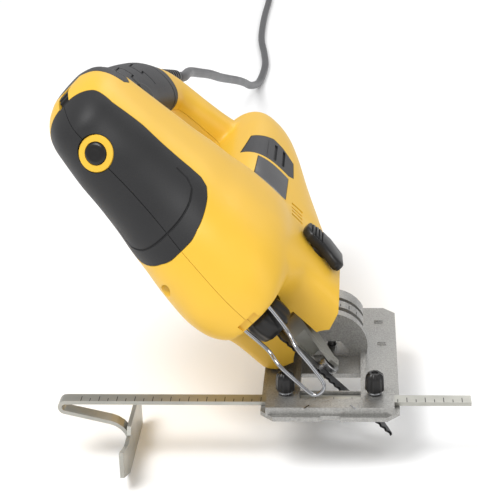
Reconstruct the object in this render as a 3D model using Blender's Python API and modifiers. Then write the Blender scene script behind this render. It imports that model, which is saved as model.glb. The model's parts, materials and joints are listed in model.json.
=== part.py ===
"""Corded jigsaw with a bevelling die-cast base, a wire blade guard and a rip fence.

The base plate lies in the world frame: +Z up, the cut runs towards -Y, and the sole is at Z = 0.
The saw body is modelled upright in its own frame, whose origin is on the bevel axis, and a parent
empty then leans the whole body over. Lengths are metres; MM turns the sizes below into metres.
"""

import math

import bmesh
import bpy
from mathutils import Matrix, Vector

MM = 0.001

# Fits
GAP = 0.3 * MM                  # between solids that touch
RUNNING = 0.5 * MM              # between solids that move on each other
CUT = 1.0 * MM                  # how far a cutter runs past what it cuts

# Base plate (world frame)
BEVEL = math.radians(45)        # lean of the body to -X as stored
PLATE_WIDTH = 76 * MM
PLATE_FRONT = -78 * MM
PLATE_REAR = 57 * MM
PLATE_THICK = 2.6 * MM
PIVOT_HEIGHT = 9 * MM           # bevel axis above the sole
DRUM_RADIUS = 20.6 * MM
DRUM_FLANGE = DRUM_RADIUS + 0.4 * MM
DRUM_FRONT = -7 * MM
DRUM_REAR = 28 * MM
DRUM_HALF = 18.4 * MM           # flat walls that cut the drum off
DRUM_WALL = 4 * MM
DRUM_SLOTS = ((0, 4.5 * MM), (13 * MM, 4 * MM))   # start and length of the arc slots
OPENING_HALF = 16.8 * MM        # blade opening
OPENING_FRONT = -54 * MM
OPENING_REAR = -28.5 * MM
RIB_THICK = 3 * MM
RIB_HEIGHT = 6 * MM
BRIDGE_REAR = -56 * MM          # the cross member that holds the fence rail
BRIDGE_TOP = 6.9 * MM
BOSS_REAR = -51 * MM
SIGHT_WIDTH = 11 * MM           # sight notch in the front lip
BEVEL_SCREW_RADIUS = 2.5 * MM
BEVEL_SCREW_Y = 8.5 * MM

# Rip fence
RAIL_WIDTH = 8 * MM
RAIL_THICK = 2.2 * MM
RAIL_Y = -61.5 * MM
RAIL_Z = PLATE_THICK + GAP
RAIL_RIGHT = 77 * MM
RAIL_LEFT = -147 * MM
SHOE_X = -112 * MM
SHOE_FRONT = -98 * MM
SHOE_REAR = -24 * MM
SHOE_TOP = -11 * MM
SHOE_BOTTOM = -33 * MM

# Thumb screws that clamp the rail
KNOB_X = 24.5 * MM
KNOB_Y = -59 * MM
KNOB_RADIUS = 5.4 * MM
KNOB_BASE = 9.4 * MM
KNOB_TOP = 20 * MM
KNOB_SCREW = 2.0 * MM

# Housing (body frame: Y back, Z up from the bevel axis)
WALL = 3.0 * MM
SKIN = 1.8 * MM                 # depth of an overmoulded grip
SADDLE = DRUM_FLANGE + 0.4 * MM # radius of the groove that rides on the drum
CHEEK_FRONT = -28 * MM
CHAMBER_HALF = 8.4 * MM
NOSE_BOTTOM = 58.5 * MM

# Drive
PLUNGER_Y = -40 * MM
PLUNGER_RADIUS = 4 * MM
PLUNGER_TOP = 112 * MM
PLUNGER_BOTTOM = 44 * MM
STROKE = 18 * MM
CLAMP_RADIUS = 12.5 * MM
CLAMP_BOTTOM = 41 * MM
CLAMP_TOP = 57.5 * MM
CLAMP_BORE = 9.2 * MM
BLADE_BACK = -42 * MM
BLADE_WIDTH = 8 * MM
BLADE_THICK = 1.3 * MM
BLADE_TIP = -48 * MM
SHANK_WIDTH = 6.4 * MM
TOOTH_PITCH = 4 * MM
MOTOR_Z = 63 * MM
GEAR_TEETH = 50
PINION_TEETH = 9
GEAR_CENTRES = 23 * MM
GEAR_FRONT = -20 * MM
GEAR_THICK = 9 * MM
PIN_RADIUS = 3 * MM
SHAFT_RADIUS = 2.5 * MM
SHAFT_END = 112 * MM
BRUSH_FRONT = 87 * MM
BRUSH_BACK = 93 * MM
UPPER_BUSH = 103 * MM            # underside of the plunger's upper guide
ROLLER_RADIUS = 6 * MM
ROLLER_Z = 3 * MM
FORK_PIVOT_Y = -16 * MM
FORK_PIVOT_Z = 30 * MM

# Controls
DIAL_Y = 12 * MM
DIAL_Z = 197.5 * MM
DIAL_RADIUS = 12.5 * MM
DIAL_WIDTH = 7 * MM
BUTTON_Y = -23.5 * MM
BUTTON_Z = 178.8 * MM
BUTTON_SLOPE = math.radians(21)  # its axis points forward and up by this much
BUTTON_RADIUS = 6.1 * MM
RING_RADIUS = 10.5 * MM
LOCK_Y = 52 * MM
LOCK_Z = 174 * MM
LOCK_RADIUS = 6 * MM
LEVER_Y = 6 * MM
LEVER_Z = 44 * MM

# Cord
CORD_RADIUS = 3.5 * MM
RELIEF_Y = 154 * MM
RELIEF_Z = 161 * MM
RELIEF_LENGTH = 28 * MM
RELIEF_DROP = math.radians(22)

# Smaller sizes of the body and the drive (body frame)
CHAMBER_BACK = -10 * MM         # room behind the blade for the roller's fork
CHAMBER_TOP = 38 * MM
SCREW_RADIUS = 1.6 * MM
SCREW_HEAD = 2.2 * MM
HOUSING_SCREWS = (              # Y, Z, the head's face and the tip's end along X
    (-45 * MM, 101.5 * MM, -21 * MM, -9.5 * MM), (58 * MM, 97 * MM, -19 * MM, 16 * MM),
    (138 * MM, 80 * MM, -25 * MM, 16 * MM), (44 * MM, 146 * MM, -18 * MM, 14 * MM),
    (112 * MM, 168 * MM, -8.5 * MM, 8.5 * MM))
TRIGGER_HALF = 9 * MM
TRIGGER_FRONT = 58 * MM
TRIGGER_BACK = 88 * MM
TRIGGER_TOP = 165 * MM
LEVER_SHAFT = 6 * MM
GUARD_X = 9.7 * MM
GUARD_Y = -51 * MM
GUARD_RADIUS = 1.1 * MM
SHANK_TOP = 56 * MM
SHANK_BOTTOM = 40 * MM
ROLLER_PIN = 1.5 * MM
FORK_HALF = 6.4 * MM
CRANK = STROKE / 2
PLATE_FRONT_FACE = -6 * MM      # the gear plate
PLATE_BACK = -2 * MM
RELIEF_RADIUS = 6.2 * MM
BODY_SIDES = 22
HOLLOW_SIDES = 12

# Outlines of the body as level sections: (height, half width, front, back, squareness)
HEAD = (
    (58.5, 29, -62.5, 56, 2.7), (66, 35, -63, 58, 2.7), (80, 37.5, -61.3, 60, 2.8),
    (100, 36.5, -54.5, 60, 2.8), (113, 35, -49.2, 58, 2.7), (126, 34, -42.3, 56, 2.7),
    (139, 32.3, -36.4, 55, 2.6), (155, 30.3, -31, 55, 2.6), (171, 28.5, -27.6, 55, 2.6),
    (187, 26.5, -21.8, 56, 2.5), (195, 25, -19.5, 57, 2.4), (201, 22.5, -13.5, 54, 2.4),
    (206.5, 18, -3, 48, 2.3), (210, 11, 8, 38, 2.2),
)
BLOCK = (
    (10, 33.5, -28, 42, 6), (44, 34, -28.6, 46, 6), (56, 34.5, -38, 50, 5), (70, 35.5, -50, 52, 4),
)
# The motor barrel as sections square to Y: (place, half width, bottom, top, squareness)
BARREL = (
    (-24, 33, 30, 100, 3), (40, 34, 24, 105, 3), (60, 34.3, 29, 106, 3), (78, 34.3, 36, 106, 3),
    (100, 34, 43, 106, 2.9), (130, 33, 51, 105, 2.8), (156, 30.5, 58, 104, 2.6),
    (174, 26, 66, 103, 2.4), (184, 19, 74, 99, 2.3), (187.5, 10, 80, 94, 2.2),
)
# The handle along its centre line: (Y, Z, half height, half width)
HANDLE = (
    (22, 188, 20, 21), (44, 186, 20.5, 18), (66, 181.5, 19.5, 16.5), (88, 176, 19, 15.5),
    (110, 169, 18.5, 14.5), (128, 161, 17, 12.5), (142, 152, 15.5, 11), (148, 138, 14, 10.5),
    (149, 123, 13, 11.5), (150, 108, 13, 13), (151, 92, 13.5, 16),
)

# Lead: points it passes (world, mm), then a stored coil on the surface that the fence rests on
FLOOR = -34 * MM
CORD_ROUTE = (
    (-103, 235, 102), (-100, 275, 89), (-97, 320, 74), (-94, 370, 56), (-91, 420, 39),
    (-88, 470, 22), (-86, 515, 6), (-84.5, 555, -9), (-83, 590, -20), (-81, 622, -28), (-79, 653, -30.5),
    (-78, 691, -30.5), (-81, 730, -30.5), (-87, 784, -30.5), (-89, 840, -30.5), (-89, 900, -30.5),
    (-88, 956, -30.5), (-87, 994, -30.5),
)
COIL_X = -49.5 * MM
COIL_Y = 1080 * MM
COIL_MEAN = 37.5 * MM
COIL_HEIGHT = 4 * CORD_RADIUS
PLUG_SHIFT = 75 * MM

# Looks: colour, roughness, metallic
YELLOW = ((0.80, 0.44, 0.03), 0.45, 0)
BLACK = ((0.02, 0.019, 0.018), 0.5, 0)
BLACK_GRIP = ((0.045, 0.045, 0.045), 0.75, 0)
GREY_GRIP = ((0.13, 0.125, 0.13), 0.75, 0)
LABEL_GREY = ((0.10, 0.10, 0.11), 0.35, 0)
RED = ((0.35, 0.06, 0.04), 0.5, 0)
GREEN = ((0.03, 0.16, 0.07), 0.5, 0)
CAST = ((0.42, 0.41, 0.40), 0.5, 1)
ZINC = ((0.50, 0.50, 0.47), 0.35, 1)
CHROME = ((0.6, 0.6, 0.6), 0.15, 1)
STEEL = ((0.45, 0.45, 0.45), 0.35, 1)
DARK_STEEL = ((0.05, 0.05, 0.05), 0.4, 1)
BRASS = ((0.60, 0.42, 0.16), 0.35, 1)
COPPER = ((0.60, 0.28, 0.16), 0.35, 1)
SIDES = ((1, "left"), (-1, "right"))

# ---------------------------------------------------------------- helpers


def clear_scene():
    for obj in list(bpy.data.objects):
        bpy.data.objects.remove(obj, do_unlink=True)


def collection(name):
    made = bpy.data.collections.new(name)
    bpy.context.scene.collection.children.link(made)
    return made


def finish(obj, look, axis_point=None, parent=None):
    """Gives a finished part its own material, its origin and its parent empty."""
    colour, roughness, metallic = look
    made = bpy.data.materials.new(obj.name)
    made.use_nodes = True
    shader = made.node_tree.nodes["Principled BSDF"]
    shader.inputs["Base Color"].default_value = (*colour, 1)
    shader.inputs["Roughness"].default_value = roughness
    shader.inputs["Metallic"].default_value = metallic
    obj.data.materials.clear()
    obj.data.materials.append(made)
    weld(obj)
    obj.data.shade_smooth()
    obj.data.set_sharp_from_angle(angle=math.radians(35))
    if axis_point:
        obj.data.transform(Matrix.Translation(-Vector(axis_point)))
        obj.location = axis_point
    obj.parent = parent
    return obj


def from_bmesh(name, shape):
    """A new object from a bmesh, as a part of the saw."""
    bmesh.ops.recalc_face_normals(shape, faces=shape.faces)
    mesh = bpy.data.meshes.new(name)
    shape.to_mesh(mesh)
    shape.free()
    obj = bpy.data.objects.new(name, mesh)
    PARTS.objects.link(obj)
    return obj


def box(name, x, y, z):
    """A box from its low and high values along each axis."""
    shape = bmesh.new()
    size = Matrix.Diagonal((x[1] - x[0], y[1] - y[0], z[1] - z[0], 1))
    centre = Matrix.Translation(((x[0] + x[1]) / 2, (y[0] + y[1]) / 2, (z[0] + z[1]) / 2))
    bmesh.ops.create_cube(shape, size=1, matrix=centre @ size)
    return from_bmesh(name, shape)


AXES = {"X": Matrix.Rotation(math.radians(90), 4, "Y"), "Y": Matrix.Rotation(math.radians(-90), 4, "X"),
        "Z": Matrix.Identity(4)}


def rod(name, radius, start, length, axis="Z", sides=20, end_radius=None):
    """A round bar or cone that starts at a point and runs along an axis, a name or a direction."""
    turn = AXES[axis] if isinstance(axis, str) else Vector(axis).to_track_quat("Z", "Y").to_matrix().to_4x4()
    shape = bmesh.new()
    bmesh.ops.create_cone(
        shape, cap_ends=True, segments=sides, radius1=radius,
        radius2=radius if end_radius is None else end_radius, depth=length,
        matrix=Matrix.Translation(start) @ turn @ Matrix.Translation((0, 0, length / 2)))
    return from_bmesh(name, shape)


def prism(name, outline, low, high, axis="X"):
    """A flat outline drawn out along an axis. Outline pairs are the other two axes in X, Y, Z order."""
    place = {"X": lambda a, b: (low, a, b), "Y": lambda a, b: (a, low, b), "Z": lambda a, b: (a, b, low)}
    step = {"X": (high - low, 0, 0), "Y": (0, high - low, 0), "Z": (0, 0, high - low)}
    shape = bmesh.new()
    face = shape.faces.new([shape.verts.new(place[axis](a, b)) for a, b in outline])
    grown = bmesh.ops.extrude_face_region(shape, geom=[face])
    moved = [item for item in grown["geom"] if isinstance(item, bmesh.types.BMVert)]
    bmesh.ops.translate(shape, vec=step[axis], verts=moved)
    return from_bmesh(name, shape)


def loft(name, rings):
    """A closed skin over rings that all have the same number of points."""
    shape = bmesh.new()
    rows = [[shape.verts.new(point) for point in ring] for ring in rings]
    for low, high in zip(rows, rows[1:]):
        for i in range(len(low)):
            j = (i + 1) % len(low)
            shape.faces.new((low[i], low[j], high[j], high[i]))
    shape.faces.new(rows[0])
    shape.faces.new(rows[-1])
    bmesh.ops.triangulate(shape, faces=shape.faces)
    return from_bmesh(name, shape)


def oval(half_a, half_b, squareness, sides=24):
    """Points of a superellipse: round at squareness 2, nearer a rectangle above it."""
    points = []
    for i in range(sides):
        turn = 2 * math.pi * (i + 0.5) / sides
        cos, sin = math.cos(turn), math.sin(turn)
        points.append((half_a * math.copysign(abs(cos) ** (2 / squareness), cos),
                       half_b * math.copysign(abs(sin) ** (2 / squareness), sin)))
    return points


def cut(obj, cutter, operation="DIFFERENCE"):
    """Applies a Boolean with a helper shape, which is then removed."""
    modifier = obj.modifiers.new(operation.title(), "BOOLEAN")
    modifier.operation = operation
    modifier.object = cutter
    apply(obj)
    bpy.data.objects.remove(cutter, do_unlink=True)
    return obj


def join(obj, *others):
    for other in others:
        cut(obj, other, "UNION")
    return obj


def carve(obj, *cutters):
    for cutter in cutters:
        cut(obj, cutter)
    return obj


def apply(obj):
    """Replaces an object's mesh by its evaluated one and drops the modifiers."""
    bpy.context.view_layer.update()
    graph = bpy.context.evaluated_depsgraph_get()
    mesh = bpy.data.meshes.new_from_object(obj.evaluated_get(graph))
    obj.modifiers.clear()
    obj.data = mesh
    mesh.name = obj.name
    return obj


def weld(obj, near=0.01 * MM):
    """Merges points that a Boolean left nearly on top of each other."""
    shape = bmesh.new()
    shape.from_mesh(obj.data)
    bmesh.ops.remove_doubles(shape, verts=shape.verts, dist=near)
    bmesh.ops.dissolve_degenerate(shape, edges=shape.edges, dist=near)
    shape.to_mesh(obj.data)
    shape.free()
    return obj


def copy(obj, name):
    made = obj.copy()
    made.data = obj.data.copy()
    made.name = name
    PARTS.objects.link(made)
    return made


def bevel(obj, width, angle=40, segments=1):
    modifier = obj.modifiers.new("Bevel", "BEVEL")
    modifier.width = width
    modifier.segments = segments
    modifier.limit_method = "ANGLE"
    modifier.angle_limit = math.radians(angle)
    return apply(obj)


def tube(name, points, radius, resolution=2):
    """A round wire along points, made a mesh with its caps welded."""
    curve = bpy.data.curves.new(name, "CURVE")
    curve.dimensions = "3D"
    curve.bevel_depth = radius
    curve.bevel_resolution = resolution
    curve.use_fill_caps = True
    spline = curve.splines.new("POLY")
    spline.points.add(len(points) - 1)
    for spot, point in zip(spline.points, points):
        spot.co = (*point, 1)
    guide = bpy.data.objects.new(name + "_line", curve)
    PARTS.objects.link(guide)
    bpy.context.view_layer.update()
    graph = bpy.context.evaluated_depsgraph_get()
    mesh = bpy.data.meshes.new_from_object(guide.evaluated_get(graph))
    bpy.data.objects.remove(guide, do_unlink=True)
    shape = bmesh.new()
    shape.from_mesh(mesh)
    bmesh.ops.remove_doubles(shape, verts=shape.verts, dist=0.001 * MM)
    return from_bmesh(name, shape)


def smooth_path(points, step):
    """Evenly spaced points on a Catmull-Rom curve through the points given."""
    spots = [Vector(point) for point in points]
    spots = [2 * spots[0] - spots[1]] + spots + [2 * spots[-1] - spots[-2]]
    fine = []
    for a, b, c, d in zip(spots, spots[1:], spots[2:], spots[3:]):
        for i in range(40):
            t = i / 40
            fine.append(0.5 * ((2 * b) + (c - a) * t + (2 * a - 5 * b + 4 * c - d) * t * t
                               + (3 * b - a - 3 * c + d) * t ** 3))
    fine.append(spots[-2])
    total = sum((q - p).length for p, q in zip(fine, fine[1:]))
    count = max(2, round(total / step))
    path, walked, due = [fine[0]], 0.0, total / count
    for p, q in zip(fine, fine[1:]):
        length = (q - p).length
        while walked + length >= due - 1e-9 and len(path) < count:
            path.append(p.lerp(q, (due - walked) / length))
            due += total / count
        walked += length
    return path + [fine[-1]]


def gear_outline(teeth, pitch_radius, first, addendum=0.55, dedendum=0.95, centre=(0, 0)):
    """The outline of a toothed wheel, with its first tooth centred at an angle."""
    module = 2 * pitch_radius / teeth
    step = 2 * math.pi / teeth
    points = []
    for tooth in range(teeth):
        middle = first + tooth * step
        for share, rise in ((-0.30, -dedendum), (-0.11, addendum), (0.11, addendum), (0.30, -dedendum)):
            radius = pitch_radius + rise * module
            turn = middle + share * step
            points.append((centre[0] + radius * math.cos(turn), centre[1] + radius * math.sin(turn)))
    return points


# ---------------------------------------------------------------- base plate


def make_base():
    """Die-cast plate with its half-round bevel drum, ribs and fence bridge."""
    half, front, rear = PLATE_WIDTH / 2, PLATE_FRONT, PLATE_REAR
    corner = 7 * MM
    outline = [(-half + corner, front), (half - corner, front), (half, front + corner),
               (half, rear - corner), (half - corner, rear), (-half + corner, rear),
               (-half, rear - corner), (-half, front + corner)]
    base = prism("base_plate", outline, 0, PLATE_THICK, "Z")
    # the cross member: a raised front bar, with a tunnel for the rail
    step = 3 * MM
    join(base, prism("bridge", [(-half + step, front + step), (half - step, front + step),
                                (half - step, BRIDGE_REAR), (-half + step, BRIDGE_REAR)],
                     PLATE_THICK / 2, BRIDGE_TOP, "Z"))
    for side in (-1, 1):
        low, high = sorted((side * (half - step), side * (OPENING_HALF + RIB_THICK / 2)))
        join(base, box("boss", (low, high), (BRIDGE_REAR - CUT, BOSS_REAR), (PLATE_THICK / 2, BRIDGE_TOP)))
        low, high = sorted((side * OPENING_HALF, side * (OPENING_HALF + RIB_THICK)))
        join(base, box("rib", (low, high), (BRIDGE_REAR - CUT, DRUM_FRONT + CUT),
                       (PLATE_THICK / 2, RIB_HEIGHT)))
    make_drum(base)
    notch = 5 * MM
    carve(base, prism("opening", [
        (-OPENING_HALF + notch, OPENING_FRONT), (OPENING_HALF - notch, OPENING_FRONT),
        (OPENING_HALF, OPENING_FRONT + notch), (OPENING_HALF, OPENING_REAR),
        (-OPENING_HALF, OPENING_REAR), (-OPENING_HALF, OPENING_FRONT + notch)], -CUT, BRIDGE_TOP + CUT, "Z"))
    low, high = RAIL_Y - RAIL_WIDTH / 2 - GAP, RAIL_Y + RAIL_WIDTH / 2 + GAP
    carve(base, box("tunnel", (-half - CUT, half + CUT), (low, high),
                    (PLATE_THICK, RAIL_Z + RAIL_THICK + GAP)))
    carve(base, box("window", (-OPENING_HALF, OPENING_HALF), (low + 1 * MM, BRIDGE_REAR - 0.8 * MM),
                    (PLATE_THICK + GAP, BRIDGE_TOP + CUT)))
    for side in (-1, 1):
        carve(base, rod("knob_hole", KNOB_SCREW + GAP, (side * KNOB_X, KNOB_Y, PLATE_THICK + CUT / 2),
                        BRIDGE_TOP, sides=14))
    carve(base, box("sight", (-SIGHT_WIDTH / 2, SIGHT_WIDTH / 2), (front - CUT, front + 1.6 * MM),
                    (-CUT, PLATE_THICK + CUT)))
    finish(base, CAST)


def make_drum(base):
    """The half-round boss that the body leans on: a shell with arc slots and a flange in front."""
    axis_start = (0, DRUM_FRONT, PIVOT_HEIGHT)
    length = DRUM_REAR - DRUM_FRONT
    drum = rod("drum", DRUM_RADIUS, axis_start, length, "Y", sides=32)
    cut(drum, box("limit", (-DRUM_HALF, DRUM_HALF), (DRUM_FRONT - CUT, DRUM_REAR + CUT),
                  (PLATE_THICK / 2, 60 * MM)), "INTERSECT")
    join(drum, box("drum_foot", (-DRUM_HALF, DRUM_HALF), (DRUM_FRONT, DRUM_REAR),
                   (PLATE_THICK / 2, PIVOT_HEIGHT)))
    flange = rod("flange", DRUM_FLANGE, axis_start, 3 * MM, "Y", sides=32)
    carve(flange, box("under", (-40 * MM, 40 * MM), (DRUM_FRONT - CUT, DRUM_FRONT + 5 * MM),
                      (-40 * MM, PLATE_THICK / 2)))
    join(drum, flange)
    inner = DRUM_RADIUS - DRUM_WALL
    bore = rod("bore", inner, (0, DRUM_FRONT + 3 * MM, PIVOT_HEIGHT), length, "Y", sides=24)
    carve(bore, box("floor", (-40 * MM, 40 * MM), (DRUM_FRONT, 60 * MM), (-40 * MM, PLATE_THICK)))
    carve(drum, bore)
    for start, width in DRUM_SLOTS:
        ring = rod("slot", DRUM_RADIUS + CUT, (0, start, PIVOT_HEIGHT), width, "Y", sides=32)
        carve(ring, box("below", (-40 * MM, 40 * MM), (start - CUT, start + width + CUT),
                        (-40 * MM, PIVOT_HEIGHT + 8 * MM)),
              rod("core", DRUM_RADIUS - 2.2 * MM, (0, start - CUT, PIVOT_HEIGHT), width + 2 * CUT, "Y",
                  sides=24))
        carve(drum, ring)
    # hexagonal dust hole through the front wall
    carve(drum, prism("dust_hole", [(-10 * MM, 3.4 * MM), (10 * MM, 3.4 * MM), (10 * MM, 7 * MM),
                                    (5 * MM, 12.4 * MM), (-5 * MM, 12.4 * MM), (-10 * MM, 7 * MM)],
                      DRUM_FRONT - CUT, DRUM_FRONT + 4 * MM, "Y"))
    join(base, drum)
    carve(base, rod("screw_way", BEVEL_SCREW_RADIUS + GAP, (0, BEVEL_SCREW_Y, -CUT), 40 * MM, sides=14),
          rod("screw_head_way", BEVEL_SCREW_RADIUS * 2 + GAP, (0, BEVEL_SCREW_Y, -CUT), CUT + 1.4 * MM,
              sides=14))


def make_fence():
    """Flat rail that turns back under itself and is bent down into an upright fence plate."""
    half = RAIL_THICK / 2
    middle = RAIL_Z + half
    turn = 3.1 * MM                 # radius of the strip's middle in the U-turn
    line = [(RAIL_RIGHT, middle), (RAIL_LEFT, middle)]
    for i in range(1, 8):
        angle = math.radians(90 + i * 166 / 8)
        line.append((RAIL_LEFT + turn * math.cos(angle), middle - turn + turn * math.sin(angle)))
    slope = math.radians(-14)
    start = (RAIL_LEFT + turn * math.cos(math.radians(256)),
             middle - turn + turn * math.sin(math.radians(256)))
    run = 26 * MM
    line.append(start)
    line.append((start[0] + run * math.cos(slope), start[1] + run * math.sin(slope)))
    bend = line[-1]
    for i in range(1, 6):
        angle = slope - math.radians(76) * i / 5
        bend_radius = SHOE_X - line[-1][0] if i == 1 else bend_radius
        line.append((bend[0] + bend_radius * (math.sin(-angle) - math.sin(-slope)) / (1 - math.sin(-slope)),
                     bend[1] - bend_radius * (math.cos(-slope) - math.cos(-angle)) / (1 - math.sin(-slope))))
    line.append((SHOE_X, line[-1][1] - 2 * MM))
    left, right = [], []
    for i, spot in enumerate(line):
        before, after = line[max(i - 1, 0)], line[min(i + 1, len(line) - 1)]
        run_x, run_z = after[0] - before[0], after[1] - before[1]
        size = math.hypot(run_x, run_z)
        left.append((spot[0] - run_z / size * half, spot[1] + run_x / size * half))
        right.append((spot[0] + run_z / size * half, spot[1] - run_x / size * half))
    strip = prism("rip_fence", left + right[::-1], RAIL_Y - RAIL_WIDTH / 2, RAIL_Y + RAIL_WIDTH / 2, "Y")
    edge = 9 * MM
    middle_y = RAIL_Y
    plate = prism("fence_plate", [
        (SHOE_REAR, SHOE_BOTTOM), (SHOE_FRONT + 2.2 * edge, SHOE_BOTTOM), (SHOE_FRONT, SHOE_BOTTOM + edge),
        (SHOE_FRONT + 1 * MM, SHOE_TOP + 2 * MM), (SHOE_FRONT + 2 * edge, SHOE_TOP - 4 * MM),
        (middle_y - RAIL_WIDTH / 2 - 3 * MM, SHOE_TOP - 4 * MM), (middle_y - RAIL_WIDTH / 2, SHOE_TOP),
        (middle_y + RAIL_WIDTH / 2, SHOE_TOP), (SHOE_REAR - edge, SHOE_TOP),
        (SHOE_REAR, SHOE_TOP - edge / 2)],
        SHOE_X - half, SHOE_X + half, "X")
    join(strip, plate)
    finish(strip, ZINC)


def make_thumb_screws():
    """Lobed plastic knobs on screws, each over a coil spring that is a plain ring here."""
    for side, name in SIDES:
        x = side * KNOB_X
        points = []
        for i in range(48):
            turn = 2 * math.pi * i / 48
            radius = KNOB_RADIUS - 0.7 * MM + 0.7 * MM * math.cos(6 * turn)
            points.append((x + radius * math.cos(turn), KNOB_Y + radius * math.sin(turn)))
        knob = prism("thumb_screw_" + name, points, KNOB_BASE, KNOB_TOP, "Z")
        screw_end = RAIL_Z + RAIL_THICK + GAP
        join(knob, rod("stem", KNOB_SCREW, (x, KNOB_Y, screw_end), KNOB_BASE + CUT - screw_end, sides=14))
        finish(knob, BLACK, (x, KNOB_Y, KNOB_BASE))
        spring = rod("thumb_spring_" + name, KNOB_RADIUS - 0.6 * MM, (x, KNOB_Y, BRIDGE_TOP + GAP),
                     KNOB_BASE - BRIDGE_TOP - 2 * GAP, sides=18)
        carve(spring, rod("hole", KNOB_SCREW + RUNNING, (x, KNOB_Y, 0), 30 * MM, sides=18))
        finish(spring, CHROME)


def make_bevel_clamp():
    """The screw that goes up through the drum and the plate it pulls on, under the drum's roof."""
    roof = PIVOT_HEIGHT + DRUM_RADIUS - DRUM_WALL
    screw = rod("bevel_screw", BEVEL_SCREW_RADIUS, (0, BEVEL_SCREW_Y, 0.3 * MM), roof - 4.5 * MM, sides=12)
    join(screw, rod("head", BEVEL_SCREW_RADIUS * 1.9, (0, BEVEL_SCREW_Y, 0.3 * MM), 0.9 * MM, sides=6))
    finish(screw, STEEL)
    plate = box("bevel_clamp_plate", (-7 * MM, 7 * MM), (BEVEL_SCREW_Y - 5 * MM, BEVEL_SCREW_Y + 5 * MM),
                (roof - 10 * MM, roof - 7.5 * MM))
    carve(plate, rod("hole", BEVEL_SCREW_RADIUS + GAP, (0, BEVEL_SCREW_Y, 0), 60 * MM, sides=12))
    finish(plate, STEEL)


# ---------------------------------------------------------------- body shapes


def level_rings(sections, inset, sides):
    """Rings of a form whose sections are level, drawn in by an inset."""
    rings = []
    for i, (height, half, front, back, square) in enumerate(sections):
        lift = inset if i == 0 else -inset if i == len(sections) - 1 else 0
        middle, depth = (front + back) / 2 * MM, (back - front) / 2 * MM - inset
        rings.append([(x, middle + y, height * MM + lift)
                      for x, y in oval(half * MM - inset, depth, square, sides)])
    return rings


def barrel_rings(inset, sides):
    rings = []
    for i, (place, half, bottom, top, square) in enumerate(BARREL):
        shift = inset if i == 0 else -inset if i == len(BARREL) - 1 else 0
        middle, rise = (bottom + top) / 2 * MM, (top - bottom) / 2 * MM - inset
        rings.append([(x, place * MM + shift, middle + z)
                      for x, z in oval(half * MM - inset, rise, square, sides)])
    return rings


def handle_rings(inset, sides):
    """Rings square to the handle's centre line."""
    line = [Vector((0, y * MM, z * MM)) for y, z, _, _ in HANDLE]
    rings = []
    for i, (_, _, rise, half) in enumerate(HANDLE):
        along = (line[min(i + 1, len(line) - 1)] - line[max(i - 1, 0)]).normalized()
        out = Vector((0, -along.z, along.y))
        shift = along * (inset if i == 0 else -inset if i == len(HANDLE) - 1 else 0)
        rings.append([line[i] + shift + Vector((x, 0, 0)) + out * z
                      for x, z in oval(half * MM - inset, rise * MM - inset, 2.3, sides)])
    return rings


def body_solid(name, inset=0.0, sides=BODY_SIDES):
    """The whole body as one solid, drawn in by an inset, with its underside cut clear."""
    solid = loft(name, level_rings(HEAD, inset, sides))
    join(solid, loft("block", level_rings(BLOCK, inset, sides)), loft("barrel", barrel_rings(inset, sides)),
         loft("handle", handle_rings(inset, sides)))
    return carve(solid, *undercuts(inset))


def undercuts(grow):
    """Solids that clear the drum, the blade's room and the clamp's collar."""
    saddle = rod("saddle", SADDLE + grow, (0, -80 * MM, 0), 160 * MM, "Y", sides=32)
    slope = [(14.6, 15.6), (25.3, 19), (31, 24), (38, 30.5), (60, 30.5)]
    outline = [(x * MM, z * MM + grow) for x, z in slope]
    outline += [(60 * MM, -10 * MM), (-60 * MM, -10 * MM)]
    outline += [(-x * MM, z * MM + grow) for x, z in reversed(slope)]
    under = prism("under", outline, -80 * MM, 80 * MM, "Y")
    room = box("room", (-CHAMBER_HALF - grow, CHAMBER_HALF + grow),
               (CHEEK_FRONT - 20 * MM, CHAMBER_BACK + grow), (0, CHAMBER_TOP + grow))
    collar = rod("collar_room", CLAMP_RADIUS + CUT + grow, (0, PLUNGER_Y, 20 * MM),
                 NOSE_BOTTOM - 0.3 * MM - 20 * MM + grow, sides=18)
    return saddle, under, room, collar


def grip_region(outline, low, high, grow=0.0):
    """A side outline drawn across the body, used to pick out an overmoulded part.

    The outline turns clockwise as seen from +X, and grow moves each of its sides outwards.
    """
    points = [Vector((y * MM, z * MM)) for y, z in outline]
    area = sum(a.x * b.y - b.x * a.y for a, b in zip(points, points[1:] + points[:1]))
    sense = 1 if area > 0 else -1
    moved = []
    for before, here, after in zip(points[-1:] + points[:-1], points, points[1:] + points[:1]):
        first = (here - before).normalized()
        second = (after - here).normalized()
        out = Vector((first.y + second.y, -first.x - second.x)) * sense
        out /= max(0.5, 1 + first.dot(second))
        moved.append(here + out * grow)
    return prism("region", [tuple(point) for point in moved], low - grow, high + grow, "X")


FRONT_GRIP = ((-80, 112.5), (-49, 112.5), (-46.6, 114.3), (-40.6, 117), (-33, 120.2), (-26.7, 123.6),
              (-22.6, 128.4), (-19.6, 136), (-16, 149), (-10.5, 170), (-6.5, 190), (-3.8, 196),
              (-1.3, 201), (-0.6, 206), (-0.6, 225), (-80, 225))
HANDLE_GRIP = ((24, 225), (24, 204), (22, 190), (27, 187), (40, 190), (50, 187.5), (58, 184),
               (61.5, 178), (62, 165), (62, 138), (118, 138), (127, 150), (133, 162), (136, 172),
               (137, 225))
SIDE_PAD = ((81, 102), (110, 99), (116, 86), (112, 78), (102, 69), (77, 68), (74, 72))
LABEL = ((76, 94), (69, 72), (36, 72), (37, 94))
FAR = 60 * MM


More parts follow.
